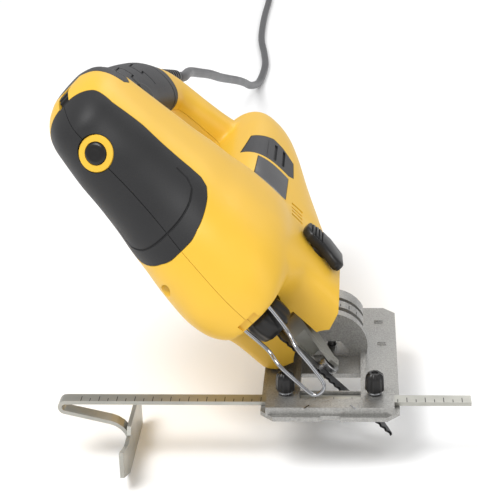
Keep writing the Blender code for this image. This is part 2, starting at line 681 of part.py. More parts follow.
def overmoulds():
    """Every piece let into the skin of the housing: name, side outline, X limits and look."""
    return (
        ("front_grip", FRONT_GRIP, -FAR, FAR, BLACK_GRIP),
        ("handle_grip", HANDLE_GRIP, -FAR, FAR, GREY_GRIP),
        ("side_pad_left", SIDE_PAD, 20 * MM, FAR, GREY_GRIP),
        ("side_pad_right", SIDE_PAD, -FAR, -20 * MM, GREY_GRIP),
        ("label_plate", LABEL, 20 * MM, FAR, LABEL_GREY),
    )


def make_housing():
    """The two clamshell halves with their overmoulded grips."""
    outer = body_solid("outer")
    under_skin = body_solid("under_skin", SKIN)
    pocket_floor = body_solid("pocket_floor", SKIN + GAP)
    shell = copy(outer, "shell")
    for name, outline, low, high, look in overmoulds():
        pocket = grip_region(outline, low, high, GAP)
        carve(shell, carve(pocket, copy(pocket_floor, "floor_copy")))
        piece = grip_region(outline, low, high)
        cut(piece, copy(outer, "outer_copy"), "INTERSECT")
        carve(piece, copy(under_skin, "skin_copy"))
        piece.name = name
        if name in ("front_grip", "handle_grip"):
            carve(piece, *control_holes(RING_RADIUS + GAP), screw_recess(*HOUSING_SCREWS[-1][:3]))
        keep_largest(piece)
        finish(piece, look, parent=LEAN)
    carve(shell, body_solid("hollow", WALL, HOLLOW_SIDES))
    within_wall = body_solid("within_wall", WALL - 0.45 * MM)
    for y, z, _, _ in HOUSING_SCREWS[1:]:
        post = rod("post", 3.6 * MM, (-FAR, y, z), 2 * FAR, "X", sides=14)
        cut(post, copy(within_wall, "limit_copy"), "INTERSECT")
        join(shell, post)
    carve(shell, *control_holes(RING_RADIUS + GAP), *drive_holes())
    for y, z, head, end in HOUSING_SCREWS:
        length = end + CUT - head + GAP
        carve(shell, rod("screw_hole", SCREW_RADIUS + GAP, (head - CUT, y, z), length, "X", sides=12),
              screw_recess(y, z, head))
    for side, name in SIDES:
        half = copy(shell, "housing_" + name)
        low, high = sorted((side * GAP / 2, side * (FAR + CUT)))
        cut(half, box("own_half", (low, high), (-100 * MM, 220 * MM), (-10 * MM, 240 * MM)), "INTERSECT")
        keep_largest(half)
        finish(half, YELLOW, parent=LEAN)
    for helper in (outer, under_skin, pocket_floor, within_wall, shell):
        bpy.data.objects.remove(helper, do_unlink=True)


def screw_recess(y, z, head):
    """Cutter from the right side down to a screw head's seat."""
    return rod("screw_recess", SCREW_RADIUS * 2 + GAP, (-FAR, y, z), head + SCREW_HEAD + FAR, "X", sides=12)


def keep_largest(obj):
    """Drops any sliver that a cut leaves loose from the main body."""
    shape = bmesh.new()
    shape.from_mesh(obj.data)
    bmesh.ops.remove_doubles(shape, verts=shape.verts, dist=0.005 * MM)
    left, pieces = set(shape.verts), []
    while left:
        piece, edge = set(), [left.pop()]
        while edge:
            vert = edge.pop()
            piece.add(vert)
            for link in vert.link_edges:
                other = link.other_vert(vert)
                if other in left:
                    left.discard(other)
                    edge.append(other)
        pieces.append(piece)
    pieces.sort(key=len)
    loose = [vert for piece in pieces[:-1] for vert in piece]
    bmesh.ops.delete(shape, geom=loose, context="VERTS")
    shape.to_mesh(obj.data)
    shape.free()
    return obj


def control_holes(ring):
    """Holes and windows for the controls and the cord."""
    inward = (0, math.cos(BUTTON_SLOPE), -math.sin(BUTTON_SLOPE))
    start = Vector((0, BUTTON_Y, BUTTON_Z)) - Vector(inward) * 8 * MM
    return (
        rod("button_hole", ring, start, 18 * MM, inward, sides=24),
        box("trigger_slot", (-TRIGGER_HALF - RUNNING, TRIGGER_HALF + RUNNING),
            (TRIGGER_FRONT - RUNNING, TRIGGER_BACK + RUNNING), (130 * MM, 172 * MM)),
        rod("lock_hole", LOCK_RADIUS + GAP, (6 * MM, LOCK_Y, LOCK_Z), 30 * MM, "X", sides=18),
        box("dial_window", (-DIAL_WIDTH / 2 - RUNNING, DIAL_WIDTH / 2 + RUNNING),
            (DIAL_Y - DIAL_RADIUS - CUT, DIAL_Y + 9 * MM), (DIAL_Z + 4 * MM, 230 * MM)),
        rod("relief_hole", RELIEF_RADIUS + GAP, relief_point(-12 * MM), 30 * MM, relief_direction(),
            sides=18),
    )


def drive_holes():
    """Holes of the plunger, the blade guard, the lever and the fork's pivot, and the cooling slots."""
    holes = [
        rod("plunger_hole", PLUNGER_RADIUS + RUNNING, (0, PLUNGER_Y, NOSE_BOTTOM - 5 * MM), 10 * MM,
            sides=18),
        rod("lever_hole", LEVER_SHAFT + GAP, (28 * MM, LEVER_Y, LEVER_Z), 20 * MM, "X", sides=18),
    ]
    for side in (-1, 1):
        holes.append(rod("guard_hole", GUARD_RADIUS + GAP, (side * GUARD_X, GUARD_Y, NOSE_BOTTOM - CUT),
                         4 * MM, sides=12))
        for i in range(4):
            low, high = sorted((side * 25 * MM, side * FAR))
            y = 20 * MM + i * 6 * MM
            holes.append(box("air_slot", (low, high), (y, y + 2.4 * MM), (58 * MM, 67 * MM)))
    return holes


def relief_direction():
    return 0, math.cos(RELIEF_DROP), -math.sin(RELIEF_DROP)


def relief_point(along):
    """A point on the strain relief's axis, measured from where it leaves the housing."""
    return Vector((0, RELIEF_Y, RELIEF_Z)) + Vector(relief_direction()) * along


# ---------------------------------------------------------------- controls


def make_controls():
    outward = (0, -math.cos(BUTTON_SLOPE), math.sin(BUTTON_SLOPE))
    face = Vector((0, BUTTON_Y, BUTTON_Z))
    ring = rod("button_ring", RING_RADIUS, face - Vector(outward) * 5 * MM, 5 * MM + 0.5 * MM, outward,
               sides=32)
    carve(ring, rod("hole", BUTTON_RADIUS + GAP, face - Vector(outward) * 7 * MM, 14 * MM, outward, sides=24))
    finish(ring, YELLOW, parent=LEAN)
    button = rod("front_button", BUTTON_RADIUS, face - Vector(outward) * 9 * MM, 9 * MM + 1.2 * MM, outward,
                 sides=24)
    finish(button, BLACK, tuple(face), LEAN)

    outline = [(TRIGGER_FRONT, 150 * MM), (TRIGGER_FRONT + 2 * MM, 145 * MM),
               (TRIGGER_FRONT + 12 * MM, 143.5 * MM),
               (TRIGGER_BACK - 4 * MM, 148 * MM), (TRIGGER_BACK, 155 * MM),
               (TRIGGER_BACK - 1 * MM, TRIGGER_TOP),
               (TRIGGER_FRONT, TRIGGER_TOP - 3 * MM)]
    trigger = prism("trigger", outline, -TRIGGER_HALF, TRIGGER_HALF, "X")
    bevel(trigger, 1.2 * MM)
    finish(trigger, BLACK, (0, TRIGGER_BACK - 3 * MM, TRIGGER_TOP - 3 * MM), LEAN)

    lock = rod("lock_on_button", LOCK_RADIUS, (9 * MM, LOCK_Y, LOCK_Z), 11.5 * MM, "X", sides=24)
    finish(lock, BLACK, (9 * MM, LOCK_Y, LOCK_Z), LEAN)

    teeth = [(DIAL_Y + r * math.cos(a), DIAL_Z + r * math.sin(a)) for r, a in dial_points()]
    dial = prism("speed_dial", teeth, -DIAL_WIDTH / 2, DIAL_WIDTH / 2, "X")
    carve(dial, rod("hole", 2 * MM, (-DIAL_WIDTH, DIAL_Y, DIAL_Z), 2 * DIAL_WIDTH, "X", sides=12))
    finish(dial, RED, (0, DIAL_Y, DIAL_Z), LEAN)

    outline = [(6, 59), (14, 58), (17, 50), (16, 41), (9, 31), (-5, 30), (-8, 34), (-4, 40), (0, 46), (1, 55)]
    lever = prism("orbital_lever", [(y * MM, z * MM) for y, z in outline], 35.2 * MM, 41.5 * MM, "X")
    bevel(lever, 1.4 * MM)
    join(lever, rod("hub", LEVER_SHAFT, (30 * MM, LEVER_Y, LEVER_Z), 7 * MM, "X", sides=18))
    finish(lever, BLACK, (35 * MM, LEVER_Y, LEVER_Z), LEAN)


def dial_points():
    """A thumb wheel's rim: small square teeth round the circle."""
    teeth = 20
    for i in range(teeth * 2):
        radius = DIAL_RADIUS if i % 2 else DIAL_RADIUS - 0.7 * MM
        yield radius, 2 * math.pi * (i - 0.3) / (teeth * 2)
        yield radius, 2 * math.pi * (i + 0.3) / (teeth * 2)


def make_screws():
    """Screws that draw the halves together, with their heads on the right side."""
    for i, (y, z, head, end) in enumerate(HOUSING_SCREWS):
        screw = rod("housing_screw_%d" % (i + 1), SCREW_RADIUS, (head, y, z), end - head, "X", sides=12)
        join(screw, rod("head", SCREW_RADIUS * 2, (head, y, z), SCREW_HEAD - GAP, "X", sides=12))
        finish(screw, STEEL, parent=LEAN)


def make_guard():
    """A wire loop in front of the blade, held by its two ends in the nose."""
    rise = NOSE_BOTTOM + 2 * MM
    side = [(GUARD_X, GUARD_Y, rise), (GUARD_X, GUARD_Y, rise - 5 * MM), (8 * MM, -55 * MM, 40 * MM),
            (7.1 * MM, -63 * MM, 32 * MM), (6.2 * MM, -66.5 * MM, 20 * MM), (4.5 * MM, -69.5 * MM, 9 * MM)]
    route = side + [(0, -70.5 * MM, 6.7 * MM)] + [(-x, y, z) for x, y, z in reversed(side)]
    guard = tube("wire_guard", smooth_path(route, 5 * MM), GUARD_RADIUS, 1)
    finish(guard, CHROME, parent=LEAN)


# ---------------------------------------------------------------- drive


def make_blade_train():
    """Plunger, clamp and blade, which go up and down together, and the roller behind them."""
    plunger = rod("plunger", PLUNGER_RADIUS, (0, PLUNGER_Y, PLUNGER_BOTTOM), PLUNGER_TOP - PLUNGER_BOTTOM,
                  sides=20)
    carve(plunger, box("shank_slot", (-BLADE_THICK / 2 - GAP, BLADE_THICK / 2 + GAP),
                       (PLUNGER_Y - 9 * MM, BLADE_BACK + GAP), (PLUNGER_BOTTOM - CUT, SHANK_TOP + GAP)))
    finish(plunger, STEEL, (0, PLUNGER_Y, PLUNGER_BOTTOM), LEAN)

    sleeve = rod("clamp_sleeve", CLAMP_BORE - RUNNING, (0, PLUNGER_Y, CLAMP_BOTTOM + CUT),
                 CLAMP_TOP - CLAMP_BOTTOM - 2 * CUT, sides=24)
    carve(sleeve, rod("bore", PLUNGER_RADIUS + GAP, (0, PLUNGER_Y, 0), 90 * MM, sides=20),
          box("slot", (-BLADE_THICK / 2 - GAP, BLADE_THICK / 2 + GAP), (PLUNGER_Y - 12 * MM, PLUNGER_Y),
              (0, 90 * MM)))
    finish(sleeve, STEEL, parent=LEAN)

    clamp = rod("blade_clamp", CLAMP_RADIUS, (0, PLUNGER_Y, CLAMP_BOTTOM), CLAMP_TOP - CLAMP_BOTTOM, sides=24)
    carve(clamp, rod("bore", CLAMP_BORE, (0, PLUNGER_Y, 0), 90 * MM, sides=18))
    bevel(clamp, 0.8 * MM)
    finish(clamp, BLACK, (0, PLUNGER_Y, CLAMP_BOTTOM), LEAN)

    front = BLADE_BACK - BLADE_WIDTH
    outline = [(BLADE_BACK, SHANK_TOP), (BLADE_BACK, BLADE_TIP + 7 * MM), (front + 2 * MM, BLADE_TIP),
               (front, BLADE_TIP)]
    teeth = round((SHANK_BOTTOM - 4 * MM - BLADE_TIP) / TOOTH_PITCH)
    for i in range(teeth):
        low = BLADE_TIP + i * TOOTH_PITCH
        outline += [(front, low + 0.3 * MM), (front + 1.6 * MM, low + 0.3 * TOOTH_PITCH),
                    (front + 0.4 * MM, low + 0.9 * TOOTH_PITCH)]
    outline += [(front, SHANK_BOTTOM - 2 * MM), (BLADE_BACK - SHANK_WIDTH, SHANK_BOTTOM),
                (BLADE_BACK - SHANK_WIDTH, SHANK_TOP)]
    blade = prism("blade", outline, -BLADE_THICK / 2, BLADE_THICK / 2, "X")
    finish(blade, DARK_STEEL, (0, BLADE_BACK, SHANK_BOTTOM), LEAN)


def make_roller():
    """A grooved wheel in a swinging fork that backs the blade and gives it its orbit."""
    roller_y = BLADE_BACK + GAP + ROLLER_RADIUS
    roller = rod("roller", ROLLER_RADIUS, (-3.6 * MM, roller_y, ROLLER_Z), 7.2 * MM, "X", sides=24)
    carve(roller, rod("bore", ROLLER_PIN + GAP, (-9 * MM, roller_y, ROLLER_Z), 18 * MM, "X", sides=12))
    finish(roller, STEEL, (0, roller_y, ROLLER_Z), LEAN)
    pin = rod("roller_pin", ROLLER_PIN, (-FORK_HALF, roller_y, ROLLER_Z), 2 * FORK_HALF, "X", sides=12)
    finish(pin, STEEL, parent=LEAN)
    pivot = (FORK_PIVOT_Y, FORK_PIVOT_Z)
    fork = prism("roller_fork", [
        (pivot[0] - 4 * MM, pivot[1] + 4 * MM), (pivot[0] + 4 * MM, pivot[1] + 4 * MM),
        (pivot[0] + 4 * MM, pivot[1] - 4 * MM), (roller_y + 4 * MM, ROLLER_Z + 1 * MM),
        (roller_y + 3 * MM, ROLLER_Z - 3 * MM), (roller_y - 3 * MM, ROLLER_Z - 3 * MM),
        (roller_y - 4 * MM, ROLLER_Z + 3 * MM)], -FORK_HALF, FORK_HALF, "X")
    inner = FORK_HALF - 2 * MM
    carve(fork, box("gap", (-inner, inner), (roller_y - 20 * MM, roller_y + ROLLER_RADIUS + 2 * MM),
                    (-20 * MM, ROLLER_Z + ROLLER_RADIUS + 1.5 * MM)),
          box("front_gap", (-inner, inner), (roller_y - 20 * MM, roller_y + ROLLER_RADIUS + 3.5 * MM),
              (-20 * MM, FORK_PIVOT_Z + 10 * MM)),
          rod("pin_hole", ROLLER_PIN + GAP, (-20 * MM, roller_y, ROLLER_Z), 40 * MM, "X", sides=12))
    join(fork, rod("trunnion", 2.2 * MM, (-CHAMBER_HALF + GAP, *pivot), 2 * (CHAMBER_HALF - GAP), "X",
                   sides=12))
    finish(fork, STEEL, (0, *pivot), LEAN)


def make_bushes():
    """The two guides of the plunger. The upper one has an ear for the front housing screw."""
    for name, low, high, half in (("lower", NOSE_BOTTOM + WALL + GAP, NOSE_BOTTOM + 10 * MM, 7.5 * MM),
                                  ("upper", UPPER_BUSH, UPPER_BUSH + 7 * MM, 9 * MM)):
        bush = box("plunger_bush_" + name, (-half, half), (PLUNGER_Y - 5.5 * MM, PLUNGER_Y + 7 * MM),
                   (low, high))
        if name == "upper":
            y, z, _, _ = HOUSING_SCREWS[0]
            ear = box("ear", (-13 * MM, CUT - half), (y - 2.6 * MM, y + 6 * MM), (z - 3 * MM, low + CUT))
            join(bush, ear)
            carve(bush, rod("screw_hole", SCREW_RADIUS + GAP, (-20 * MM, y, z), 14 * MM, "X", sides=12))
        carve(bush, rod("bore", PLUNGER_RADIUS + GAP, (0, PLUNGER_Y, 0), 200 * MM, sides=20))
        finish(bush, BRASS, parent=LEAN)


def make_yoke_and_gear():
    """A crank pin on the drive gear runs behind the level slot of the yoke that drives the plunger.

    The pin stops just short of the slot, so that the gear can turn while the yoke stands still.
    """
    pin_z = MOTOR_Z + GEAR_CENTRES + CRANK
    plate_front, plate_back = -35.4 * MM, -30.4 * MM
    reach = CRANK + PIN_RADIUS + GAP
    yoke = box("scotch_yoke", (-reach - 3.5 * MM, reach + 3.5 * MM), (plate_front, plate_back),
               (pin_z - 7 * MM, pin_z + 7 * MM))
    join(yoke, rod("boss", PLUNGER_RADIUS + 2.6 * MM, (0, PLUNGER_Y, pin_z - 6.6 * MM), 13.2 * MM, sides=20))
    carve(yoke, rod("bore", PLUNGER_RADIUS + GAP, (0, PLUNGER_Y, 0), 200 * MM, sides=20),
          box("slot", (-reach, reach), (plate_front - CUT, plate_back + CUT),
              (pin_z - PIN_RADIUS - GAP, pin_z + PIN_RADIUS + GAP)))
    finish(yoke, STEEL, (0, PLUNGER_Y, pin_z), LEAN)

    axis = (0, GEAR_FRONT, MOTOR_Z + GEAR_CENTRES)
    module = 2 * GEAR_CENTRES / (GEAR_TEETH + PINION_TEETH)
    gear = prism("drive_gear", gear_outline(GEAR_TEETH, GEAR_TEETH * module / 2, -math.pi / 2,
                                            centre=(0, axis[2])),
                 GEAR_FRONT, GEAR_FRONT + GEAR_THICK, "Y")
    join(gear, rod("axle", 4 * MM, (0, GEAR_FRONT + GEAR_THICK - CUT, axis[2]),
                   PLATE_BACK - GEAR_FRONT - GEAR_THICK, "Y", sides=18))
    carve(gear, rod("pin_hole", PIN_RADIUS + GAP, (0, GEAR_FRONT - CUT, pin_z), GEAR_THICK + CUT - 2 * MM,
                    "Y", sides=14))
    finish(gear, STEEL, axis, LEAN)
    pin_start = plate_back + RUNNING
    pin = rod("crank_pin", PIN_RADIUS, (0, pin_start, pin_z),
              GEAR_FRONT + GEAR_THICK - 2.5 * MM - pin_start, "Y", sides=14)
    finish(pin, STEEL, axis, LEAN)

    outline = gear_outline(PINION_TEETH, PINION_TEETH * module / 2, math.pi / 2 + math.pi / PINION_TEETH,
                           centre=(0, MOTOR_Z))
    pinion = prism("motor_pinion", outline, GEAR_FRONT - CUT, PLATE_FRONT_FACE - 3 * MM, "Y")
    finish(pinion, STEEL, (0, GEAR_FRONT, MOTOR_Z), LEAN)

    plate = box("gear_plate", (-29 * MM, 29 * MM), (PLATE_FRONT_FACE, PLATE_BACK), (46 * MM, 108 * MM))
    bevel(plate, 6 * MM, 80)
    carve(plate, rod("axle_hole", 4 * MM + RUNNING, (0, -10 * MM, axis[2]), 12 * MM, "Y", sides=18),
          rod("shaft_hole", SHAFT_RADIUS + RUNNING, (0, -10 * MM, MOTOR_Z), 12 * MM, "Y", sides=14))
    finish(plate, CAST, parent=LEAN)


def ring_on_motor(name, radius, front, length, bore, sides=24):
    ring = rod(name, radius, (0, front, MOTOR_Z), length, "Y", sides=sides)
    return carve(ring, rod("bore", bore, (0, front - CUT, MOTOR_Z), length + 2 * CUT, "Y", sides=14))


def make_motor():
    """Universal motor on one axis along the barrel, front to back."""
    axis = (0, 0, MOTOR_Z)
    tight, running = SHAFT_RADIUS + GAP, SHAFT_RADIUS + RUNNING
    shaft_start = PLATE_FRONT_FACE - 3 * MM + GAP
    shaft = rod("armature_shaft", SHAFT_RADIUS, (0, shaft_start, MOTOR_Z), SHAFT_END - shaft_start, "Y",
                sides=14)
    finish(shaft, STEEL, axis, LEAN)
    finish(ring_on_motor("bearing_front", 10 * MM, 0.3 * MM, 7 * MM, running), STEEL, parent=LEAN)
    finish(ring_on_motor("bearing_rear", 9 * MM, 104 * MM, 6 * MM, running), STEEL, parent=LEAN)
    finish(ring_on_motor("armature_core", 13.6 * MM, 46 * MM, 28 * MM, tight), DARK_STEEL, axis, LEAN)
    finish(ring_on_motor("commutator", 10 * MM, 84 * MM, 12 * MM, tight), COPPER, axis, LEAN)
    finish(ring_on_motor("field_stator", 22 * MM, 44 * MM, 32 * MM, 15 * MM), DARK_STEEL, parent=LEAN)

    fan = ring_on_motor("cooling_fan", 19 * MM, 37.5 * MM, 1.5 * MM, tight)
    hub = ring_on_motor("fan_hub", 6 * MM, 31 * MM, 8 * MM, tight)
    join(fan, hub)
    for i in range(9):
        blade = box("fan_blade", (5 * MM, 18.4 * MM), (32 * MM, 38 * MM), (-0.6 * MM, 0.6 * MM))
        blade.data.transform(Matrix.Translation(axis) @ Matrix.Rotation(2 * math.pi * i / 9, 4, "Y"))
        join(fan, blade)
    finish(fan, BLACK, axis, LEAN)

    for side, name in SIDES:
        low, high = sorted((side * (10 * MM + GAP), side * 22 * MM))
        brush = box("brush_" + name, (low, high), (BRUSH_FRONT, BRUSH_BACK),
                    (MOTOR_Z - 3 * MM, MOTOR_Z + 3 * MM))
        finish(brush, DARK_STEEL, parent=LEAN)
        low, high = sorted((side * 13 * MM, side * 25 * MM))
        holder = box("brush_holder_" + name, (low, high), (BRUSH_FRONT - 2.5 * MM, BRUSH_BACK + 2.5 * MM),
                     (MOTOR_Z - 6 * MM, MOTOR_Z + 6 * MM))
        carve(holder, box("hole", (min(low, high) - CUT, max(low, high) + CUT),
                          (BRUSH_FRONT - GAP, BRUSH_BACK + GAP),
                          (MOTOR_Z - 3 * MM - GAP, MOTOR_Z + 3 * MM + GAP)))
        finish(holder, BRASS, parent=LEAN)


def make_electrics():
    switch = box("trigger_switch", (-7.5 * MM, 7.5 * MM), (63 * MM, 90 * MM), (173 * MM, 189 * MM))
    finish(bevel(switch, 1 * MM), BLACK, parent=LEAN)
    board = box("control_board", (-12 * MM, 12 * MM), (20 * MM, 22 * MM), (118 * MM, 166 * MM))
    finish(board, GREEN, parent=LEAN)
    clamp = box("cord_clamp", (-7 * MM, 7 * MM), (118 * MM, 126 * MM), (156 * MM, 167 * MM))
    finish(bevel(clamp, 1 * MM), BLACK, parent=LEAN)


# ---------------------------------------------------------------- cord


def make_cord():
    """Strain relief on the saw, then the lead, its stored coil and its plug, which lie still."""
    relief = rod("strain_relief", RELIEF_RADIUS, relief_point(-9 * MM), RELIEF_LENGTH + 9 * MM,
                 relief_direction(), sides=28, end_radius=CORD_RADIUS + 1.2 * MM)
    finish(relief, BLACK_GRIP, parent=LEAN)
    route = [(x * MM, y * MM, z * MM) for x, y, z in CORD_ROUTE]
    end = (COIL_X - COIL_MEAN, COIL_Y - 36 * MM, FLOOR + CORD_RADIUS)
    way_out = [lean_matrix() @ relief_point(RELIEF_LENGTH + 2 * GAP + along) for along in (0, 14 * MM)]
    cord = tube("cord", smooth_path(way_out + route + [end], 17 * MM), CORD_RADIUS, 1)
    finish(cord, GREY_GRIP)
    outer, inner = COIL_MEAN + 3 * CORD_RADIUS, COIL_MEAN - 3 * CORD_RADIUS
    coil = rod("cord_coil", outer, (COIL_X, COIL_Y, FLOOR + GAP), COIL_HEIGHT, sides=24)
    carve(coil, rod("hole", inner, (COIL_X, COIL_Y, FLOOR - CUT), 2 * COIL_HEIGHT, sides=24))
    finish(bevel(coil, 2.5 * MM), GREY_GRIP)
    make_plug(COIL_X - 3 * MM, COIL_Y - 20 * MM)


def make_plug(x, y):
    """A moulded two-pin plug that lies in the middle of the coil's far side."""
    z = FLOOR + GAP + 9 * MM
    body = rod("plug", 8.5 * MM, (x + PLUG_SHIFT, y - 14 * MM, z), 32 * MM, "Y", sides=28, end_radius=7 * MM)
    bevel(body, 1.5 * MM)
    for side in (-1, 1):
        join(body, box("pin",
                       (x + PLUG_SHIFT + side * 5 * MM - 0.8 * MM, x + PLUG_SHIFT + side * 5 * MM + 0.8 * MM),
                       (y - 31 * MM, y - 12 * MM), (z - 3 * MM, z + 3 * MM)))
    finish(body, BLACK)


def lean_matrix():
    return Matrix.Translation((0, 0, PIVOT_HEIGHT)) @ Matrix.Rotation(-BEVEL, 4, "Y")


# ---------------------------------------------------------------- the whole saw

clear_scene()
PARTS = collection("jigsaw")
LEAN = bpy.data.objects.new("body_lean", None)
PARTS.objects.link(LEAN)
LEAN.location = (0, 0, PIVOT_HEIGHT)
LEAN.rotation_euler = (0, -BEVEL, 0)

make_base()
make_fence()
make_thumb_screws()
make_bevel_clamp()
make_housing()
make_controls()
make_screws()
make_guard()
make_blade_train()
make_roller()
make_bushes()
make_yoke_and_gear()
make_motor()
make_electrics()
make_cord()
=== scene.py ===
"""Looks of a corded jigsaw that leans over its bevelled base plate.

The CAD frame gives every moving body and its place. This script adds the fine outer forms (moulded
shell, soft grips, knobs, springs, guard, lead), a finish for each surface, the floor, the lights and
the camera. Body forms are made upright in the saw's own frame, in millimetres, and then leaned over.
"""

import json
import logging
import math
from dataclasses import dataclass
from enum import Enum

import bmesh
import bpy
import numpy as np
from mathutils import Matrix, Vector

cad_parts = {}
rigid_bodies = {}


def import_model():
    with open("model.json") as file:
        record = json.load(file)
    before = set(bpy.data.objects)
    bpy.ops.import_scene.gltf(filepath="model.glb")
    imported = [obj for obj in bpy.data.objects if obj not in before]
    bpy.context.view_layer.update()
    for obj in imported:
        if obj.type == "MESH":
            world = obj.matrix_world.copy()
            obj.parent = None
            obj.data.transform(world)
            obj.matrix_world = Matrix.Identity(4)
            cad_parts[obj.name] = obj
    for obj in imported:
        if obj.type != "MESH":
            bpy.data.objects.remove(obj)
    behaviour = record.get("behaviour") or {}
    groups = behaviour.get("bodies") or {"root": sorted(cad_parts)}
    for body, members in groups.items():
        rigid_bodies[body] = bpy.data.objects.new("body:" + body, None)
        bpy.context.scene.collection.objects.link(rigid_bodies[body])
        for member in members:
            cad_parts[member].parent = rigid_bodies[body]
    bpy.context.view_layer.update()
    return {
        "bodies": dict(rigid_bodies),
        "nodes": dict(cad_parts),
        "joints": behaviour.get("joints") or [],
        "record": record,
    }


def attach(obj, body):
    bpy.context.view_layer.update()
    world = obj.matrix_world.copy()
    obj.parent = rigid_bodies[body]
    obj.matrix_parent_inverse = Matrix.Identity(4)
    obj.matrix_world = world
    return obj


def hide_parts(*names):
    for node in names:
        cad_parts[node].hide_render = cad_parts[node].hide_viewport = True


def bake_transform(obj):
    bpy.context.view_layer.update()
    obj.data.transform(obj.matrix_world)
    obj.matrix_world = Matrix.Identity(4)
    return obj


LOG = logging.getLogger("jigsaw")

MM = 0.001
TILT = math.radians(45)
PIVOT_HEIGHT = 9 * MM
LEAN = Matrix.Translation((0, 0, PIVOT_HEIGHT)) @ Matrix.Rotation(-TILT, 4, "Y")
FLOOR = -34.0
BOX_FACES = ((0, 1, 3, 2), (4, 6, 7, 5), (0, 4, 5, 1), (2, 3, 7, 6), (0, 2, 6, 4), (1, 5, 7, 3))
SIDES = ((1, "left"), (-1, "right"))

# Level sections of the head and of the gear block: height, half width, front, back, squareness
HEAD = (
    (58.5, 29, -62.5, 56, 2.7), (66, 35, -63, 58, 2.7), (80, 37.5, -61.3, 60, 2.8),
    (100, 36.5, -54.5, 60, 2.8), (113, 35, -49.2, 58, 2.7), (126, 34, -42.3, 56, 2.7),
    (139, 32.3, -36.4, 55, 2.6), (155, 30.3, -31, 55, 2.6), (171, 28.5, -27.6, 55, 2.6),
    (187, 26.5, -21.8, 56, 2.5), (195, 25, -19.5, 57, 2.4), (201, 22.5, -13.5, 54, 2.4),
    (206.5, 18, -3, 48, 2.3), (210, 11, 8, 38, 2.2),
)
BLOCK = (
    (10, 33.5, -28, 42, 6), (44, 34, -28.6, 46, 6), (56, 34.5, -38, 50, 5), (70, 35.5, -50, 52, 4),
)
# Sections of the motor barrel square to Y: place, half width, bottom, top, squareness
BARREL = (
    (-24, 33, 30, 100, 3), (40, 34, 24, 105, 3), (60, 34.3, 29, 106, 3), (78, 34.3, 36, 106, 3),
    (100, 34, 43, 106, 2.9), (130, 33, 51, 105, 2.8), (156, 30.5, 58, 104, 2.6),
    (174, 26, 66, 103, 2.4), (184, 19, 74, 99, 2.3), (187.5, 10, 80, 94, 2.2),
)
# The handle's centre line: Y, Z, half height, half width
HANDLE = (
    (22, 188, 20, 21), (44, 186, 20.5, 18), (66, 181.5, 19.5, 16.5), (88, 176, 19, 15.5),
    (110, 169, 18.5, 14.5), (128, 161, 17, 12.5), (142, 152, 15.5, 11), (148, 138, 14, 10.5),
    (149, 123, 13, 11.5), (150, 108, 13, 13), (151, 92, 13.5, 16),
)
WALL = 3.0
SEAM = 0.35

PLUNGER_Y = -40.0
SCREWS = ((-45, 101.5, -21), (58, 97, -19), (138, 80, -25), (44, 146, -18), (112, 168, -8.5))
BUTTON = Vector((0, -23.5, 178.8))
BUTTON_OUT = Vector((0, -math.cos(math.radians(21)), math.sin(math.radians(21))))
RELIEF = Vector((0, 154, 161))
RELIEF_OUT = Vector((0, math.cos(math.radians(22)), -math.sin(math.radians(22))))
RELIEF_LENGTH = 28.0

CORD_RADIUS = 3.5
CORD_ROUTE = (
    (-103, 235, 102), (-100, 275, 89), (-97, 320, 74), (-94, 370, 56), (-91, 420, 39), (-88, 470, 22),
    (-86, 515, 6), (-84.5, 555, -9), (-83, 590, -20), (-81, 622, -28), (-79, 653, -30.5),
    (-78, 691, -30.5), (-81, 730, -30.5), (-87, 784, -30.5), (-89, 840, -30.5), (-89, 900, -30.5),
    (-88, 956, -30.5), (-90, 1000, -30.5), (-93.5, 1040, -30.5),
)
COIL = Vector((-49.5, 1080, 0))
COIL_INNER = 30.3
COIL_OUTER = 44.7
COIL_PITCH = 7.2
COIL_LOW = -30.4
COIL_HIGH = -23.3
TURN_POINTS = 24
CLIMB_POINTS = 6
PLUG_X = 22.5


# ---------------------------------------------------------------- finishes


class Grain(Enum):
    """Kinds of surface that a finish can have."""

    MOULDED = "moulded plastic"
    SOFT = "soft rubber"
    CAST = "die-cast metal"
    ROLLED = "rolled or ground metal"


